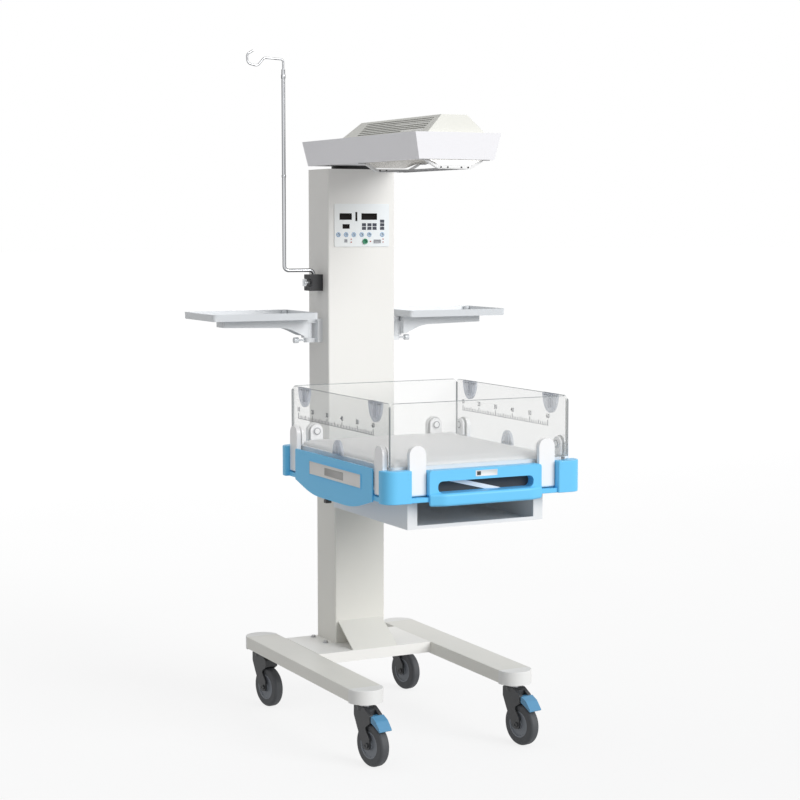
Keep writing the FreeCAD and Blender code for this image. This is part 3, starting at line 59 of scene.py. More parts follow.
class Value:
    """What leaves a node's socket. Sums written on it add Math nodes to its finish."""

    def __init__(self, finish, socket):
        self.finish = finish
        self.socket = socket

    def sum(self, operation, *terms):
        return self.finish.node("Math", {"operation": operation}, dict(enumerate(terms)))

    def __add__(self, other):
        return self.sum("ADD", self, other)

    def __sub__(self, other):
        return self.sum("SUBTRACT", self, other)

    def __rsub__(self, other):
        return self.sum("SUBTRACT", other, self)

    def __mul__(self, other):
        return self.sum("MULTIPLY", self, other)

    def __pow__(self, other):
        return self.sum("POWER", self, other)

    def __gt__(self, other):
        return self.sum("GREATER_THAN", self, other)

    def __lt__(self, other):
        return self.sum("LESS_THAN", self, other)

    __radd__ = __add__
    __rmul__ = __mul__


class Finish:
    """A material or a backdrop. node() adds a node: its kind, its settings, what its sockets hold and which
    output to use."""

    def __init__(self, name, owner=None):
        self.material = owner or bpy.data.materials.new(name)
        self.material.use_nodes = True
        self.tree = self.material.node_tree
        self.tree.nodes.clear()
        self.place = self.node("TexCoord", {}, {}, "Object")

    def node(self, kind, settings, sockets, output=0):
        new = self.tree.nodes.new("ShaderNode" + kind)
        for word, setting in settings.items():
            setattr(new, word, setting)
        for key, value in sockets.items():
            if isinstance(value, Value):
                self.tree.links.new(value.socket, new.inputs[key])
            else:
                new.inputs[key].default_value = value
        return Value(self, new.outputs[output]) if new.outputs else None

    def noise(self, scale, detail=2.0, place=None):
        return self.node("TexNoise", {}, {"Vector": place or self.place, "Scale": scale, "Detail": detail})

    def mix(self, share, first, second):
        """A colour between two, by a share from 0 to 1."""
        return self.node("Mix", {"data_type": "RGBA"}, {0: share, 6: first, 7: second}, 2)

    def clamp(self, value):
        return self.node("Clamp", {}, {0: value})

    def seen(self):
        """1 for rays that show the picture, straight, mirrored or through clear plastic, and 0 for light."""
        straight, mirrored, through = [self.node("LightPath", {}, {}, f"Is {kind} Ray")
                                       for kind in ("Camera", "Glossy", "Transmission")]
        return self.clamp(straight + mirrored + through)

    def along(self, axis):
        """How far a point lies along an axis, in metres."""
        return self.node("SeparateXYZ", {}, {0: self.place}, axis)

    def surface(self, colour, roughness, height=None, depth=0.0, **fixed):
        """The finished surface: its colour, its roughness, and a relief of the given depth in metres."""
        sockets = {"Base Color": colour, "Roughness": roughness}
        for word, value in fixed.items():
            sockets[word.replace("_", " ")] = value
        if height is not None:
            sockets["Normal"] = self.node("Bump", {}, {"Height": height, "Distance": depth})
        skin = self.node("BsdfPrincipled", {}, sockets)
        self.node("OutputMaterial", {}, {"Surface": skin})
        return self.material


# Floor and light: a plain pale floor with one wide soft light from the front right and an even room light,
# so that the left-hand faces lie in half shade and the warmer throws a faint shadow behind itself.
bpy.ops.mesh.primitive_plane_add(size=160, location=(0, 20, 0))
floor = bpy.context.object
floor.name = "floor"
pale = Finish("pale_floor")
paper = pale.mix(pale.noise(0.8), (0.17, 0.17, 0.172, 1), (0.19, 0.19, 0.19, 1))
matt = pale.node("BsdfDiffuse", {}, {"Color": pale.mix(pale.seen(), (0.52, 0.52, 0.52, 1), paper)})
distance = pale.clamp(pale.along("Y") * 0.12 + 2.50)
near_strength, far_gain = 0.795, 0.085
glow = pale.node("Emission", {}, {"Strength": pale.seen() * (distance * far_gain + near_strength)})
pale.node("OutputMaterial", {}, {"Surface": pale.node("AddShader", {}, {0: matt, 1: glow})})
floor.data.materials.append(pale.material)
room = Finish("room", bpy.data.worlds.new("room"))
bpy.context.scene.world = room.material
sky = room.node("Background", {}, {"Color": (1, 1, 1, 1), "Strength": room.seen() * 0.45 + 0.55})
room.node("OutputWorld", {}, {"Surface": sky})
bpy.ops.object.light_add(type="SUN", location=(2, -4, 5))
key = bpy.context.object
key.name = "key_light"
towards_key = Vector((0.40, -0.82, 0.41))
key.rotation_euler = towards_key.to_track_quat("Z", "Y").to_euler()
key.data.energy = 2.05
key.data.angle = math.radians(36)


# Base: two rectangular steel tubes, a folded cross plate, a sloping brace and a square column tube,
# all coated with a warm cream-grey baked powder paint that has a fine orange peel.
def powder_coat(name, colour, shade, gloss=0.40):
    coat = Finish(name)
    drift = coat.noise(5.0, 3.0)
    peel = coat.noise(700.0, 2.0)
    specks = coat.noise(2600.0, 1.0) > 0.72
    tone = coat.mix(specks * 0.25, coat.mix(drift, colour, shade), shade)
    return coat.surface(tone, drift * 0.10 + gloss, peel, 0.00025, Coat_Weight=0.15, Coat_Roughness=0.25)


def wear(material, *names):
    """Give CAD pieces their finish."""
    for name in names:
        nodes[name].material_slots[0].material = material


base_paint = powder_coat("cream_powder_paint", (0.80, 0.79, 0.74, 1), (0.76, 0.75, 0.70, 1))
wear(base_paint, "left_leg", "right_leg", "front_brace", "lower_column")
plate_paint = powder_coat("cross_plate_paint", (0.93, 0.92, 0.89, 1), (0.90, 0.89, 0.86, 1))
wear(plate_paint, "cross_plate")


def slab(name, low, high, edge, segments):
    """A block between two corners, its edges rounded over."""
    bpy.ops.object.select_all(action="DESELECT")
    bpy.ops.mesh.primitive_cube_add(size=1, location=[(a + b) / 2 for a, b in zip(low, high)],
                                    scale=[b - a for a, b in zip(low, high)])
    piece = bpy.context.object
    piece.name = name
    bpy.ops.object.transform_apply(location=True, rotation=True, scale=True)
    round_over(piece, edge, segments)
    return piece


CORNER_ANGLE = math.radians(40)


def round_over(piece, edge, segments):
    """Round the edges that turn by more than the corner angle, and smooth what lies between them."""
    bevel = piece.modifiers.new("edges", "BEVEL")
    bevel.width = edge
    bevel.segments = segments
    bevel.limit_method = "ANGLE"
    bevel.angle_limit = CORNER_ANGLE
    bpy.context.view_layer.objects.active = piece
    bpy.ops.object.modifier_apply(modifier="edges")
    bpy.ops.object.shade_smooth_by_angle(angle=CORNER_ANGLE)


TURNS = {"x": (0, math.pi / 2, 0), "y": (math.pi / 2, 0, 0), "z": (0, 0, 0)}


def turned(name, centre, radius, length, axis, edge, sides):
    """A round piece about an axis, its rims rounded over."""
    bpy.ops.object.select_all(action="DESELECT")
    bpy.ops.mesh.primitive_cylinder_add(vertices=sides, radius=radius, depth=length, location=centre,
                                        rotation=TURNS[axis])
    piece = bpy.context.object
    piece.name = name
    bpy.ops.object.transform_apply(location=True, rotation=True, scale=True)
    round_over(piece, edge, 2)
    return piece


def sink(piece, test, border, depth):
    """Inset the faces whose normal passes the test, and push them in."""
    bpy.context.view_layer.objects.active = piece
    bpy.ops.object.mode_set(mode="EDIT")
    bpy.ops.mesh.select_mode(type="FACE")
    bpy.ops.mesh.select_all(action="DESELECT")
    mesh = bmesh.from_edit_mesh(piece.data)
    for face in mesh.faces:
        face.select_set(test(face.normal))
    bmesh.update_edit_mesh(piece.data)
    bpy.ops.mesh.inset(thickness=border, depth=-depth)
    bpy.ops.object.mode_set(mode="OBJECT")


def join(name, pieces):
    """Make several new pieces one, under a name."""
    bpy.ops.object.select_all(action="DESELECT")
    for piece in pieces:
        piece.select_set(True)
    bpy.context.view_layer.objects.active = pieces[0]
    bpy.ops.object.join()
    pieces[0].name = name
    return pieces[0]


def settle(piece, material, body):
    """Give a new piece its finish and the body that carries it."""
    piece.data.materials.clear()
    piece.data.materials.append(material)
    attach(piece, body)


# Base bolts: hexagon heads with washers that hold the column's tube and the brace to the cross plate.
# They are zinc plated, which leaves a cloudy grey.
zinc = Finish("zinc_plate")
zinc_cloud = zinc.noise(900.0, 3.0)
zinc_tone = zinc.mix(zinc_cloud, (0.55, 0.55, 0.56, 1), (0.42, 0.42, 0.43, 1))
zinc_plate = zinc.surface(zinc_tone, zinc_cloud * 0.2 + 0.25, zinc_cloud, 0.0001, Metallic=1.0)
plate_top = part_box("cross_plate")[1].z
column_low, column_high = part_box("lower_column")
bolt_x, front_inset, rear_inset = 0.108, 0.025, 0.020
washer_high, head_high = 0.002, 0.005
head_middle = plate_top + washer_high + head_high / 2
bolts = []
for x in (-bolt_x, bolt_x):
    for y in (column_low.y + front_inset, column_high.y - rear_inset):
        washer = turned("washer", (x, y, plate_top + washer_high / 2), 0.009, washer_high, "z", 0.0004, 28)
        head = turned("head", (x, y, head_middle), 0.0065, head_high, "z", 0.0006, 6)
        sink(head, lambda normal: normal.z > 0.9, 0.001, 0.0004)
        bolts += [washer, head]
settle(join("base_bolts", bolts), zinc_plate, "stand")


# Leg ends: glass-filled nylon caps that plug into the legs' tubes. They are a shade whiter than the
# paint, and have the fine spark texture of the mould.
def moulded(name, colour, shade, gloss, grain=1500.0, depth=0.00012, **fixed):
    plastic = Finish(name)
    drift = plastic.noise(7.0, 2.0)
    spark = plastic.noise(grain, 3.0)
    tone = plastic.mix(drift * 0.8 + spark * 0.2, colour, shade)
    return plastic.surface(tone, spark * 0.12 + gloss, spark, depth, **fixed)


cap_plastic = moulded("cap_nylon", (0.84, 0.84, 0.83, 1), (0.78, 0.78, 0.76, 1), 0.36)
wear(cap_plastic, "leg_end_caps")

# Casters: forks and hubs of dark grey nylon, tyres of grey rubber, stems of plated steel.
# The two in front carry a blue toe pedal for the brake.
fork_nylon = moulded("fork_nylon", (0.046, 0.048, 0.052, 1), (0.032, 0.033, 0.036, 1), 0.36)
hub_nylon = moulded("hub_nylon", (0.210, 0.228, 0.255, 1), (0.175, 0.190, 0.215, 1), 0.42)
pedal_blue = moulded("pedal_blue", (0.10, 0.30, 0.50, 1), (0.07, 0.25, 0.44, 1), 0.32, Coat_Weight=0.1)
rubber = Finish("tyre_rubber")
dust = rubber.noise(18.0, 4.0)
rubber_grain = rubber.noise(1200.0, 2.0)
tyre_rubber = rubber.surface(rubber.mix(dust, (0.045, 0.048, 0.053, 1), (0.068, 0.072, 0.079, 1)),
                             dust * 0.15 + 0.52, rubber_grain, 0.0002)
brushed = Finish("turned_steel")
brushed_ring = brushed.noise(1600.0, 2.0)
turned_steel = brushed.surface((0.56, 0.56, 0.58, 1), brushed_ring * 0.2 + 0.22, brushed_ring, 0.00008,
                               Metallic=1.0)
wear(turned_steel, "caster_stems", "tilt_shaft")
nut_reach, caster_turn = 0.0245, math.radians(10)
CASTERS = [(end, side) for end in ("front", "rear") for side in ("left", "right")]
for end, side in CASTERS:
    corner = f"{end}_{side}"
    wear(fork_nylon, f"{corner}_fork")
    wear(tyre_rubber, f"{corner}_tyre")
    wear(hub_nylon, f"{corner}_hub")
    # Each end of the axle carries a domed nut, turned by the small angle that the caster stands at.
    hub_low, hub_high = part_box(f"{corner}_hub")
    centre = (hub_low + hub_high) / 2
    nuts = []
    for way in (-1, 1):
        nut = turned("nut", (centre.x + way * nut_reach, centre.y, centre.z), 0.0075, 0.004, "x", 0.0012, 24)
        sink(nut, lambda normal: abs(normal.x) > 0.9, 0.002, 0.0006)
        nuts.append(nut)
    cap = join(f"{corner}_axle_nuts", nuts)
    cap.data.transform(Matrix.Translation(centre) @ Matrix.Rotation(caster_turn, 4, "Z")
                       @ Matrix.Translation(-centre))
    settle(cap, fork_nylon, f"{corner}_caster")
wear(pedal_blue, "front_left_brake_pedal", "front_right_brake_pedal")

# Column: a folded steel channel closed by a rear cover, in a whiter baked paint than the base.
# Ten small domed screws hold the cover. The mains inlet is black.
column_paint = powder_coat("white_powder_paint", (0.86, 0.85, 0.82, 1), (0.83, 0.82, 0.79, 1), 0.38)
wear(column_paint, "upper_column", "rear_cover")
inlet_black = moulded("inlet_black", (0.020, 0.020, 0.021, 1), (0.028, 0.028, 0.030, 1), 0.40)
# The hood's pivot wears the inlet's black as painted shade for the dark gap between the column and the hood.
wear(inlet_black, "mains_inlet", "hood_pivot")
cover_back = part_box("upper_column")[1].y
screw_x, screw_heights = 0.100, (0.72, 0.95, 1.18, 1.41, 1.66)
screws = []
for x in (-screw_x, screw_x):
    for z in screw_heights:
        dome = turned("dome", (x, cover_back + 0.0010, z), 0.0045, 0.0024, "y", 0.0009, 20)
        sink(dome, lambda normal: normal.y > 0.9, 0.0018, 0.0010)
        screws.append(dome)
settle(join("cover_screws", screws), zinc_plate, "stand")

# Control panel: a moulded plate with a printed membrane, three dark display windows, a light bar,
# raised membrane keys and sockets for the probes. Its displays and print are left bare.
panel_film = Finish("membrane_film")
panel_grain = panel_film.noise(2200.0, 2.0)
panel_mask = panel_film.clamp(panel_film.along("X") * 2.6 + 0.28)
film = panel_film.surface(panel_film.mix(panel_mask, (0.88, 0.90, 0.89, 1), (0.80, 0.86, 0.91, 1)),
                          panel_grain * 0.1 + 0.40, panel_grain, 0.00003)
wear(film, "control_panel")
panel_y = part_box("control_panel")[0].y


def on_panel(name, left, low, right, high, rise, edge):
    """A thin piece on the panel's face, its place in millimetres from the middle plane and the floor."""
    near = (left / 1000, panel_y - rise / 1000, low / 1000)
    far = (right / 1000, panel_y + 0.0008, high / 1000)
    return slab(name, near, far, edge / 1000, 2)


def faces_front(normal):
    return normal.y < -0.9


def window(name, left, low, right, high):
    """A dark lens that fills one of the panel's sunk windows."""
    near = (left / 1000, panel_y + 0.0003, low / 1000)
    far = (right / 1000, panel_y + 0.0012, high / 1000)
    lens = slab(name, near, far, 0.0002, 2)
    sink(lens, faces_front, 0.0012, 0.0002)
    return lens


smoked = Finish("smoked_lens")
smoke = smoked.noise(40.0)
smoked_lens = smoked.surface(smoked.mix(smoke, (0.006, 0.005, 0.005, 1), (0.011, 0.008, 0.007, 1)), 0.6,
                             Specular_IOR_Level=0.1)
window_spots = ((-76, 1538, -34.5, 1558), (-2, 1538, 51.6, 1558), (-66, 1511, -42, 1525))
lenses = [window("lens", *spot) for spot in window_spots]
lenses.append(on_panel("bar", -22.5, 1534, -16, 1562, 0.3, 0.2))
settle(join("display_lenses", lenses), smoked_lens, "stand")
dark_key = moulded("dark_key_film", (0.035, 0.040, 0.060, 1), (0.025, 0.030, 0.048, 1), 0.45)
half_wide, half_high = 6.9, 4.6
keys = []
for x, z in [(x, z) for x in (6.8, 25.3, 43, 69) for z in (1512, 1523)] + [(69, 1534)]:
    pad = on_panel("pad", x - half_wide, z - half_high, x + half_wide, z + half_high, 0.7, 0.3)
    sink(pad, faces_front, 0.0012, 0.0002)
    keys.append(pad)
settle(join("dark_keys", keys), dark_key, "stand")
pale_key = moulded("pale_key_film", (0.62, 0.74, 0.86, 1), (0.55, 0.68, 0.83, 1), 0.30)
key_ring = moulded("key_ring_ink", (0.20, 0.36, 0.56, 1), (0.17, 0.32, 0.50, 1), 0.34)
button_row = 1.493
rings, buttons = [], []
for x in (-80, -54, -28, -1, 25, 69):
    rings.append(turned("ring", (x / 1000, panel_y - 0.0001, button_row), 0.0075, 0.0006, "y", 0.0001, 36))
    button = turned("button", (x / 1000, panel_y - 0.0004, button_row), 0.0060, 0.0012, "y", 0.0004, 36)
    sink(button, faces_front, 0.0012, 0.0003)
    buttons.append(button)
settle(join("key_rings", rings), key_ring, "stand")
settle(join("round_keys", buttons), pale_key, "stand")
green = moulded("socket_green", (0.05, 0.30, 0.16, 1), (0.04, 0.24, 0.13, 1), 0.32)
socket = turned("probe_socket", (0.010, panel_y - 0.0020, 1.472), 0.0085, 0.0050, "y", 0.0010, 36)
sink(socket, faces_front, 0.0025, 0.0022)
settle(socket, green, "stand")
grey_part = moulded("connector_grey", (0.34, 0.35, 0.37, 1), (0.28, 0.29, 0.31, 1), 0.36)
port = on_panel("port", 40, 1466.5, 64, 1477.5, 2.0, 0.8)
sink(port, faces_front, 0.0018, 0.0014)
square = on_panel("square", -60, 1469, -50, 1479, 0.8, 0.4)
sink(square, faces_front, 0.0014, 0.0004)
settle(join("panel_ports", [port, square]), grey_part, "stand")
lamp = Finish("signal_lamp")
lamp_mottle = lamp.noise(1500.0)
lamp_lens = lamp.surface(lamp.mix(lamp_mottle, (0.55, 0.10, 0.06, 1), (0.45, 0.08, 0.05, 1)), 0.15)
lamps = [turned("lamp", (x / 1000, panel_y - 0.0006, z / 1000), 0.0020, 0.0018, "y", 0.0007, 20)
         for x, z in ((-37, 1470), (-37, 1479), (72, 1470), (72, 1479), (29, 1472))]
settle(join("signal_lamps", lamps), lamp_lens, "stand")

# Hood: a pressed steel pan in near-white paint under a ventilated housing, with a polished reflector,
# ceramic-ended heaters and a plated wire guard below the mouth, whose two strips carry white bands.
hood_paint = powder_coat("hood_paint", (0.94, 0.935, 0.965, 1), (0.92, 0.915, 0.945, 1), 0.40)
wear(hood_paint, "hood_shell")
housing_paint = powder_coat("housing_paint", (0.72, 0.72, 0.67, 1), (0.68, 0.68, 0.63, 1), 0.42)
wear(housing_paint, "heater_housing")
polish = Finish("rolled_reflector")
streak = polish.noise(60.0, 3.0, polish.node("Mapping", {}, {"Vector": polish.place, "Scale": (12, 0.4, 12)}))
reflector_tone = polish.mix(streak, (0.84, 0.83, 0.81, 1), (0.70, 0.69, 0.67, 1))
reflector_metal = polish.surface(reflector_tone, streak * 0.2 + 0.16, streak, 0.0003, Metallic=1.0)
wear(reflector_metal, "reflector")
ceramic = moulded("heater_ceramic", (0.60, 0.56, 0.50, 1), (0.48, 0.44, 0.40, 1), 0.5, 900.0)
wear(ceramic, "heater_tubes")
guard_plate = Finish("plated_guard")
guard_cloud = guard_plate.noise(400.0, 2.0)
guard_low, guard_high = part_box("wire_guard")
strip_width = 0.012
wire_overhang = 0.002
front_edge = guard_low.y + wire_overhang
rear_edge = guard_high.y - wire_overhang - strip_width
guard_y = guard_plate.along("Y")
between = (guard_y > front_edge + strip_width) * (guard_y < rear_edge)
guard_tone = guard_plate.mix(between, (0.90, 0.90, 0.91, 1), (0.30, 0.30, 0.31, 1))
guard_metal = guard_plate.surface(guard_tone, guard_cloud * 0.15 + 0.30, guard_cloud, 0.0001,
                                  Metallic=between * 0.8)
wear(guard_metal, "wire_guard")
# A white band stands on the front edge of each strip, with a dark dome where each wire is riveted to it.
band_paint = powder_coat("band_paint", (0.93, 0.93, 0.93, 1), (0.90, 0.90, 0.90, 1), 0.36)
band_low = guard_low.z + 0.0005
band_high = band_low + 0.009
flat_half, slope_end, slope_rise = 0.052, 0.089, 0.0205
rivet_places, rivet_height = (0.0215, 0.0430), band_low + 0.0042
bands, rivets = [], []
for edge in (front_edge, rear_edge):
    face, back = edge - 0.0010, edge + 0.0004
    bands.append(slab("band", (-flat_half, face, band_low), (flat_half, back, band_high), 0.0004, 2))
    for way in (-1, 1):
        slope = slab("slope", (flat_half, face, band_low), (slope_end, back, band_high), 0.0004, 2)
        shear = Matrix.Identity(4)
        shear[2][0] = slope_rise / (slope_end - flat_half)
        shear[2][3] = -shear[2][0] * flat_half
        slope.data.transform(Matrix.Diagonal((way, 1, 1, 1)) @ shear)
        if way < 0:
            slope.data.flip_normals()
        bands.append(slope)
        for x in rivet_places:
            dome = turned("dome", (way * x, edge - 0.0016, rivet_height), 0.0026, 0.0014, "y", 0.0006, 20)
            sink(dome, faces_front, 0.0008, 0.0002)
            rivets.append(dome)
settle(join("guard_bands", bands), band_paint, "hood")
settle(join("guard_rivets", rivets), inlet_black, "hood")

# Trays: pale vacuum-formed dishes on folded steel arms, each held by a bracket with a pinch screw.
# Four small zinc-plated screws hold each dish to its arm.
tray_shell = moulded("tray_shell", (0.74, 0.765, 0.79, 1), (0.71, 0.735, 0.76, 1), 0.30, Coat_Weight=0.1)
arm_paint = powder_coat("arm_paint", (0.82, 0.84, 0.86, 1), (0.79, 0.81, 0.83, 1), 0.36)
wear(tray_shell, "left_tray", "right_tray")
wear(arm_paint, "left_tray_arm", "right_tray_arm", "tray_brackets")
grip_clear = moulded("clear_grip", (0.80, 0.82, 0.84, 1), (0.70, 0.73, 0.76, 1), 0.12, Coat_Weight=0.5)
wear(grip_clear, "left_tray_screw", "right_tray_screw", "pole_knob")
head_x, head_y = (0.25, 0.40), (0.313, 0.349)
for side, way in (("left", -1), ("right", 1)):
    head_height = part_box(f"{side}_tray")[0].z + 0.0030
    heads = []
    for x in head_x:
        for y in head_y:
            head = turned("head", (way * x, y, head_height), 0.0045, 0.0012, "z", 0.0005, 20)
            sink(head, lambda normal: normal.z > 0.9, 0.0016, 0.0006)
            heads.append(head)
    settle(join(f"{side}_tray_heads", heads), zinc_plate, f"{side}_tray_table")

# Drip pole: bent chromed tube in a dark cast clamp, with a thin hook rod that slides in its top.
# Two short turned collars stand on its upright.
chrome = Finish("bright_chrome")
chrome_haze = chrome.noise(300.0, 2.0)
# Painted reflection: the chrome's colour turns dark and less metallic towards its outline, by the facing
# angle.
chrome_turn = chrome.node("LayerWeight", {}, {"Blend": 0.5}, "Facing")
painted_reflection_share = chrome.clamp(chrome_turn * 2.4 - 0.15)
chrome_tone = chrome.mix(painted_reflection_share, (0.62, 0.63, 0.65, 1), (0.020, 0.021, 0.024, 1))
bright_chrome = chrome.surface(chrome_tone, painted_reflection_share * 0.4 + 0.10, chrome_haze, 0.00003,
                               Metallic=1 - painted_reflection_share, Specular_IOR_Level=0.15)
wear(bright_chrome, "pole_tube", "hook_rod")
clamp_cast = moulded("clamp_casting", (0.018, 0.019, 0.021, 1), (0.030, 0.031, 0.034, 1), 0.50, 900.0, 0.0003)
wear(clamp_cast, "pole_clamp")
pole_x, pole_y = -0.233, 0.320
collars = []
for z, rise in ((1.9687, 0.012), (1.6696, 0.008)):
    collars.append(turned("collar", (pole_x, pole_y, z), 0.0066, rise, "z", 0.0012, 32))
settle(join("pole_collars", collars), bright_chrome, "pole")

# Bassinet carrier and chassis: welded steel in white paint, as the shelf below them is painted.
# The tilt lever is black.
chassis_paint = powder_coat("chassis_paint", (0.86, 0.87, 0.88, 1), (0.82, 0.83, 0.84, 1), 0.36)
wear(chassis_paint, "tilt_carrier", "bed_chassis", "under_shelf")
lever_black = moulded("lever_black", (0.022, 0.022, 0.024, 1), (0.032, 0.032, 0.034, 1), 0.36)
wear(lever_black, "tilt_lever")

# Bassinet frame: sky-blue injection-moulded ledge, corner guards, front handle and side skirts.
# Dark slabs on the front guards, painted shade for their slots, and a bare label on the handle are
# pieces of their own.
sky_blue = moulded("sky_blue_plastic", (0.170, 0.610, 0.970, 1), (0.150, 0.585, 0.955, 1), 0.34, 1400.0,
                   0.00006, Specular_IOR_Level=0.35)
wear(sky_blue, "bed_frame", "front_handle", "side_skirts")
guard_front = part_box("bed_frame")[0].y
mark_x, mark_half, mark_low, mark_high = 0.2386, 0.0035, 0.8430, 0.8580
# Each dark slab is painted shade in the opening of a guard's slot.
slots = []
for x in (-mark_x, mark_x):
    mark = slab("mark", (x - mark_half, guard_front - 0.0001, mark_low),
                (x + mark_half, guard_front + 0.0010, mark_high), 0.0003, 2)
    sink(mark, faces_front, 0.0009, 0.0006)
    slots.append(mark)
settle(join("guard_slots", slots), lever_black, "bed")
label_film = moulded("bare_label", (0.80, 0.81, 0.82, 1), (0.76, 0.77, 0.78, 1), 0.40)
handle_front = -0.522
label_half, label_low, label_high = 0.034, 0.8395, 0.8560
label = slab("handle_label", (-label_half, handle_front - 0.0004, label_low),
             (label_half, handle_front + 0.0004, label_high), 0.00015, 2)
sink(label, faces_front, 0.0012, 0.0001)
settle(label, label_film, "bed")
field_left, field_right = -0.030, -0.018
blank = slab("label_field", (field_left, handle_front - 0.0006, 0.8425),
             (field_right, handle_front, 0.8530), 0.0001, 1)
settle(blank, lever_black, "bed")

# Behind the hand slot: a dark sheet is painted shade for the dark space under the deck, and a painted
# steel stay crosses the opening on the slant.
handle_back = -0.4923
shade_black = moulded("slot_shade", (0.045, 0.050, 0.056, 1), (0.030, 0.034, 0.040, 1), 0.7)
shade_half, shade_low, shade_high = 0.154, 0.7965, 0.8355
shade = slab("slot_shade", (-shade_half, handle_back, shade_low),
             (shade_half, handle_back + 0.0012, shade_high), 0.0004, 2)
sink(shade, faces_front, 0.0015, 0.0001)
settle(shade, shade_black, "bed")
stay_start, stay_end, stay_fall = -0.120, 0.058, 0.044
stay_low, stay_high = 0.8320, 0.8450
stay = slab("slot_stay", (stay_start, handle_back - 0.0030, stay_low),
            (stay_end, handle_back, stay_high), 0.0010, 2)
slant = Matrix.Identity(4)
slant[2][0] = -stay_fall / (stay_end - stay_start)
slant[2][3] = slant[2][0] * -stay_start
stay.data.transform(slant)
settle(stay, chassis_paint, "bed")

# Rating plate: a beige film in the moulded border of the left skirt, with a grey window. Nothing is
# printed on either.
skirt_left = -0.300
beige_film = moulded("beige_plate", (0.84, 0.83, 0.81, 1), (0.80, 0.79, 0.77, 1), 0.38)
plate_front, plate_rear, plate_low, plate_high = -0.3505, -0.0105, 0.8025, 0.8395
plate = slab("skirt_plate", (skirt_left - 0.0008, plate_front, plate_low),
             (skirt_left + 0.0004, plate_rear, plate_high), 0.0003, 2)
sink(plate, lambda normal: normal.x < -0.9, 0.0020, 0.0002)
settle(plate, beige_film, "bed")
window_film = moulded("grey_window", (0.42, 0.41, 0.40, 1), (0.37, 0.365, 0.355, 1), 0.35)
pane_front, pane_rear, pane_low, pane_high = -0.2385, -0.1155, 0.8100, 0.8320
pane_of_plate = slab("plate_window", (skirt_left - 0.0012, pane_front, pane_low),
                     (skirt_left - 0.0004, pane_rear, pane_high), 0.0002, 2)
sink(pane_of_plate, lambda normal: normal.x < -0.9, 0.0015, 0.0001)
settle(pane_of_plate, window_film, "bed")

# Deck: a white moulded pan with a soft gloss. It carries the mattress and tilts with the bassinet.
deck_white = moulded("deck_white", (0.88, 0.90, 0.92, 1), (0.85, 0.87, 0.89, 1), 0.22, Coat_Weight=0.2)
wear(deck_white, "deck")

# Mattress: a foam slab in a welded, wipe-clean cover. It is blown up like a cushion by a cloth
# simulation, so that its top crowns and its sides pull in, and it lies in the deck's pan.
pad_low, pad_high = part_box("mattress")
side_gap, under_gap, top_gap = 0.002, 0.0005, 0.004
mattress = slab("mattress_cover", (pad_low.x + side_gap, pad_low.y + side_gap, pad_low.z + under_gap),
                (pad_high.x - side_gap, pad_high.y - side_gap, pad_high.z - top_gap), 0.009, 3)
voxels = mattress.modifiers.new("voxels", "REMESH")
voxels.mode = "VOXEL"
voxels.voxel_size = 0.006
bpy.ops.object.modifier_apply(modifier="voxels")
cloth_steps, held_height, most_swell, most_spill = 20, 0.004, 0.006, 0.004
floor_group = mattress.vertex_groups.new(name="underside")
rest = [vertex.co.copy() for vertex in mattress.data.vertices]
floor_group.add([v.index for v in mattress.data.vertices if v.co.z < pad_low.z + held_height], 1.0, "ADD")
cloth = mattress.modifiers.new("cloth", "CLOTH")
cloth.settings.use_pressure = True
cloth.settings.uniform_pressure_force = 4
cloth.settings.effector_weights.gravity = 0
cloth.settings.vertex_group_mass = "underside"
bpy.context.scene.frame_start = 1
bpy.context.scene.frame_end = cloth_steps
for step in range(1, cloth_steps + 1):
    bpy.context.scene.frame_set(step)
bpy.ops.object.modifier_apply(modifier="cloth")
for vertex, was in zip(mattress.data.vertices, rest):
    moved = vertex.co - was
    vertex.co = was + moved * min(1.0, most_swell / max(moved.length, 1e-9))
for vertex in mattress.data.vertices:
    vertex.co.x = min(max(vertex.co.x, pad_low.x - most_spill), pad_high.x + most_spill)
    vertex.co.y = min(max(vertex.co.y, pad_low.y - most_spill), pad_high.y + most_spill)
    vertex.co.z = max(vertex.co.z, pad_low.z)
finer = mattress.modifiers.new("finer", "SUBSURF")
finer.levels = finer.render_levels = 1
bpy.ops.object.modifier_apply(modifier="finer")
bpy.ops.object.shade_smooth()
cover = Finish("wipe_clean_cover")
weave = cover.node("TexWave", {"bands_direction": "X"}, {"Vector": cover.place, "Scale": 520.0})
weft = cover.node("TexWave", {"bands_direction": "Y"}, {"Vector": cover.place, "Scale": 520.0})
crease = cover.noise(9.0, 4.0)
cover_tone = cover.mix(crease, (0.98, 0.98, 0.98, 1), (0.96, 0.96, 0.965, 1))
cover_relief = weave * 0.4 + weft * 0.4 + crease * 4.0
cover_cloth = cover.surface(cover_tone, crease * 0.15 + 0.42, cover_relief, 0.0004, Sheen_Weight=0.15)
settle(mattress, cover_cloth, "bed")
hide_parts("mattress")

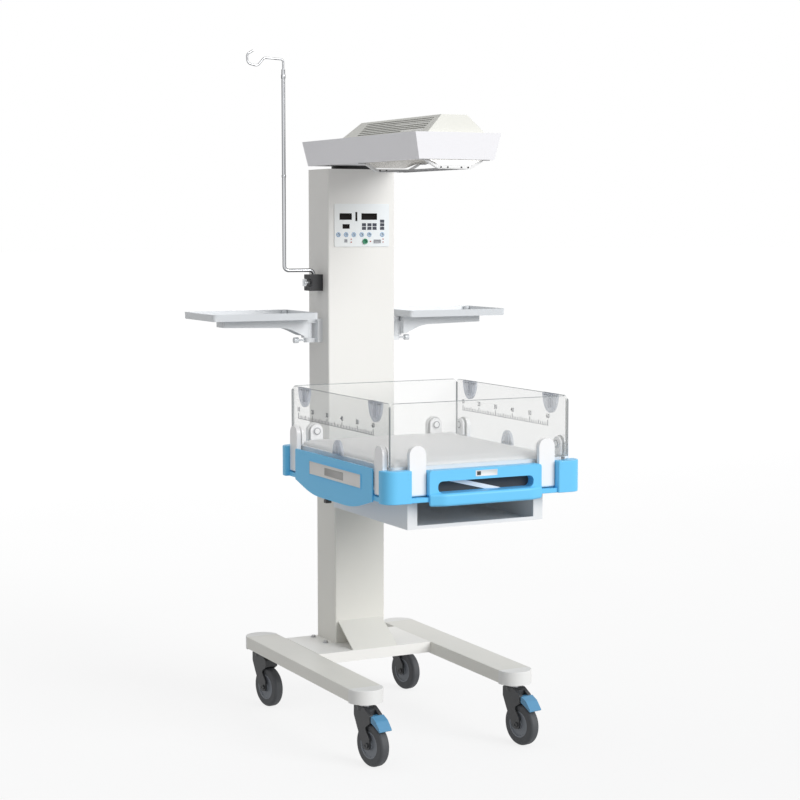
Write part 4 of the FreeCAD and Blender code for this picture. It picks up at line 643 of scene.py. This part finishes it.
# Panel arms: white moulded posts with a clamping disc inside each clear panel. A grey ring and a
# white knob finish each disc.
arm_white = moulded("arm_white", (0.94, 0.94, 0.945, 1), (0.91, 0.91, 0.92, 1), 0.28, Coat_Weight=0.1)
SIDES = ("left", "right", "front", "rear")
wear(arm_white, *[f"{side}_pane_arms" for side in SIDES])
disc_height = 0.906
long_spots, short_spots = (-0.449, 0.120), (-0.203, 0.203)
for side in SIDES:
    low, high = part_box(f"{side}_pane_arms")
    long_side = side in ("left", "right")
    rings, knobs = [], []
    for spot in long_spots if long_side else short_spots:
        if long_side:
            inner = high.x if side == "left" else low.x
            middle, axis = (inner, spot, disc_height), "x"
        else:
            inner = high.y if side == "front" else low.y
            middle, axis = (spot, inner, disc_height), "y"
        rings.append(turned("ring", middle, 0.0112, 0.0012, axis, 0.0004, 36))
        knob = turned("knob", middle, 0.0082, 0.0032, axis, 0.0008, 36)
        sink(knob, lambda normal: abs(normal.x if axis == "x" else normal.y) > 0.99, 0.0032, 0.0009)
        knobs.append(knob)
    bearer = f"{side}_side"
    settle(join(f"{side}_disc_rings", rings), grey_part, bearer)
    settle(join(f"{side}_disc_knobs", knobs), arm_white, bearer)


# Clear panels: cast acrylic sheet with polished edges, which look darker because the light runs
# along the sheet to them.
RIM_HEIGHT, EDGE_BAND = 1.0445, 0.0015


def acrylic(name, axis, ends):
    clear = Finish(name)
    facing = clear.node("LayerWeight", {}, {"Blend": 0.35}, "Facing")
    cloud = clear.noise(3.0)
    rim = clear.along("Z") > RIM_HEIGHT
    across = clear.along(axis)
    edge = clear.clamp(rim + (across > ends[1] - EDGE_BAND) + (across < ends[0] + EDGE_BAND))
    solid = facing ** 3.0 * 0.50 + edge * 0.60 + cloud * 0.03 + 0.10
    return clear.surface(clear.mix(edge, (0.82, 0.83, 0.81, 1), (0.24, 0.27, 0.28, 1)), 0.10, Alpha=solid,
                         Specular_IOR_Level=0.5)


for side in SIDES:
    low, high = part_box(f"{side}_pane")
    axis = "Y" if side in ("left", "right") else "X"
    ends = (low.y, high.y) if axis == "Y" else (low.x, high.x)
    wear(acrylic(f"{side}_acrylic", axis, ends), f"{side}_pane")

# Rulers: a scale printed on the left-hand face of each long panel, with a mark every 10 mm and a
# plain number every 100 mm.
ink = moulded("ruler_ink", (0.030, 0.034, 0.050, 1), (0.040, 0.044, 0.060, 1), 0.6)
ruler_base = 0.952
ruler_front = -0.390
ruler_length, number_pitch, number_rise = 0.500, 0.1, 0.021
tick_rows = ((51, 0.010, 0.009, 0.0022), (11, 0.050, 0.012, 0.0024), (6, 0.100, 0.016, 0.0026))


def stroke(name, face, y, width, low, high):
    """A printed line on a panel's face."""
    return slab(name, (face - 0.0003, y - width / 2, low), (face + 0.0001, y + width / 2, high), 0.00005, 1)


for side in ("left", "right"):
    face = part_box(f"{side}_pane")[0].x
    marks = [stroke("line", face, ruler_front + ruler_length / 2, ruler_length + 0.006, ruler_base - 0.0005,
                    ruler_base + 0.0005)]
    for count, pitch, tall, width in tick_rows:
        tick = stroke("tick", face, ruler_front, width, ruler_base, ruler_base + tall)
        row = tick.modifiers.new("row", "ARRAY")
        row.count = count
        row.use_relative_offset = False
        row.use_constant_offset = True
        row.constant_offset_displace = (0, pitch, 0)
        bpy.context.view_layer.objects.active = tick
        bpy.ops.object.modifier_apply(modifier="row")
        marks.append(tick)
    for step in range(6):
        bpy.ops.object.select_all(action="DESELECT")
        bpy.ops.object.text_add(location=(0, 0, 0))
        number = bpy.context.object
        number.data.body = str(10 * (6 - step))
        number.data.size = 0.018
        number.data.offset = 0.0003
        number.data.extrude = 0.0001
        number.data.align_x = "CENTER"
        number.data.resolution_u = 4
        bpy.ops.object.convert(target="MESH")
        turn = Matrix.Rotation(-math.pi / 2, 4, "Z") @ Matrix.Rotation(math.pi / 2, 4, "X")
        spot = (face - 0.0002, ruler_front + number_pitch * step, ruler_base + number_rise)
        number.data.transform(Matrix.Translation(spot) @ turn)
        marks.append(number)
    settle(join(f"{side}_ruler", marks), ink, f"{side}_side")

# Grommets: soft silicone ports for tubes, pressed into half-oval notches of the long panels. Each has
# a thick rim, and three ribs across its thin middle.
silicone = Finish("port_silicone")
silicone_cloud = silicone.noise(120.0, 2.0)
silicone_tone = silicone.mix(silicone_cloud, (0.66, 0.70, 0.79, 1), (0.58, 0.63, 0.73, 1))
port_silicone = silicone.surface(silicone_tone, silicone_cloud * 0.1 + 0.3, silicone_cloud, 0.0002,
                                 Alpha=0.52)
rib_white = moulded("port_ribs", (0.86, 0.89, 0.94, 1), (0.80, 0.83, 0.90, 1), 0.3, Alpha=0.8)
port_thick, rim_wide, rim_proud = 0.0076, 0.009, 0.0022
rib_pitch, rib_half_thick, rib_half_wide = 0.009, 0.0031, 0.0018
for side in ("left", "right"):
    low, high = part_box(f"{side}_pane")
    middle_x = (low.x + high.x) / 2
    # Where each port lies along the panel, its edge, half its width, its depth, and whether it hangs.
    port_places = ((-0.4005, high.z, 0.0395, 0.057, True), (0.071, high.z, 0.039, 0.057, True),
                   (-0.1585, low.z, 0.0305, 0.042, False))
    ports, ribs = [], []
    for centre_y, centre_z, half, deep, hangs in port_places:
        oval = turned("oval", (0, 0, 0), 1.0, port_thick, "x", 0.0008, 56)
        stretch = Matrix.Diagonal((1, half, deep, 1))
        oval.data.transform(Matrix.Translation((middle_x, centre_y, centre_z)) @ stretch)
        bpy.context.view_layer.objects.active = oval
        bpy.ops.object.mode_set(mode="EDIT")
        bpy.ops.mesh.select_all(action="SELECT")
        bpy.ops.mesh.bisect(plane_co=(0, 0, centre_z), plane_no=(0, 0, 1), use_fill=True,
                            clear_outer=hangs, clear_inner=not hangs)
        bpy.ops.object.mode_set(mode="OBJECT")
        sink(oval, lambda normal: abs(normal.x) > 0.9, rim_wide, rim_proud)
        ports.append(oval)
        tall = deep - 0.014
        span = (centre_z - tall, centre_z - 0.002) if hangs else (centre_z + 0.002, centre_z + tall)
        for y in (centre_y - rib_pitch, centre_y, centre_y + rib_pitch):
            ribs.append(slab("rib", (middle_x - rib_half_thick, y - rib_half_wide, span[0]),
                             (middle_x + rib_half_thick, y + rib_half_wide, span[1]), 0.0008, 2))
    settle(join(f"{side}_grommets", ports), port_silicone, f"{side}_side")
    settle(join(f"{side}_port_ribs", ribs), rib_white, f"{side}_side")
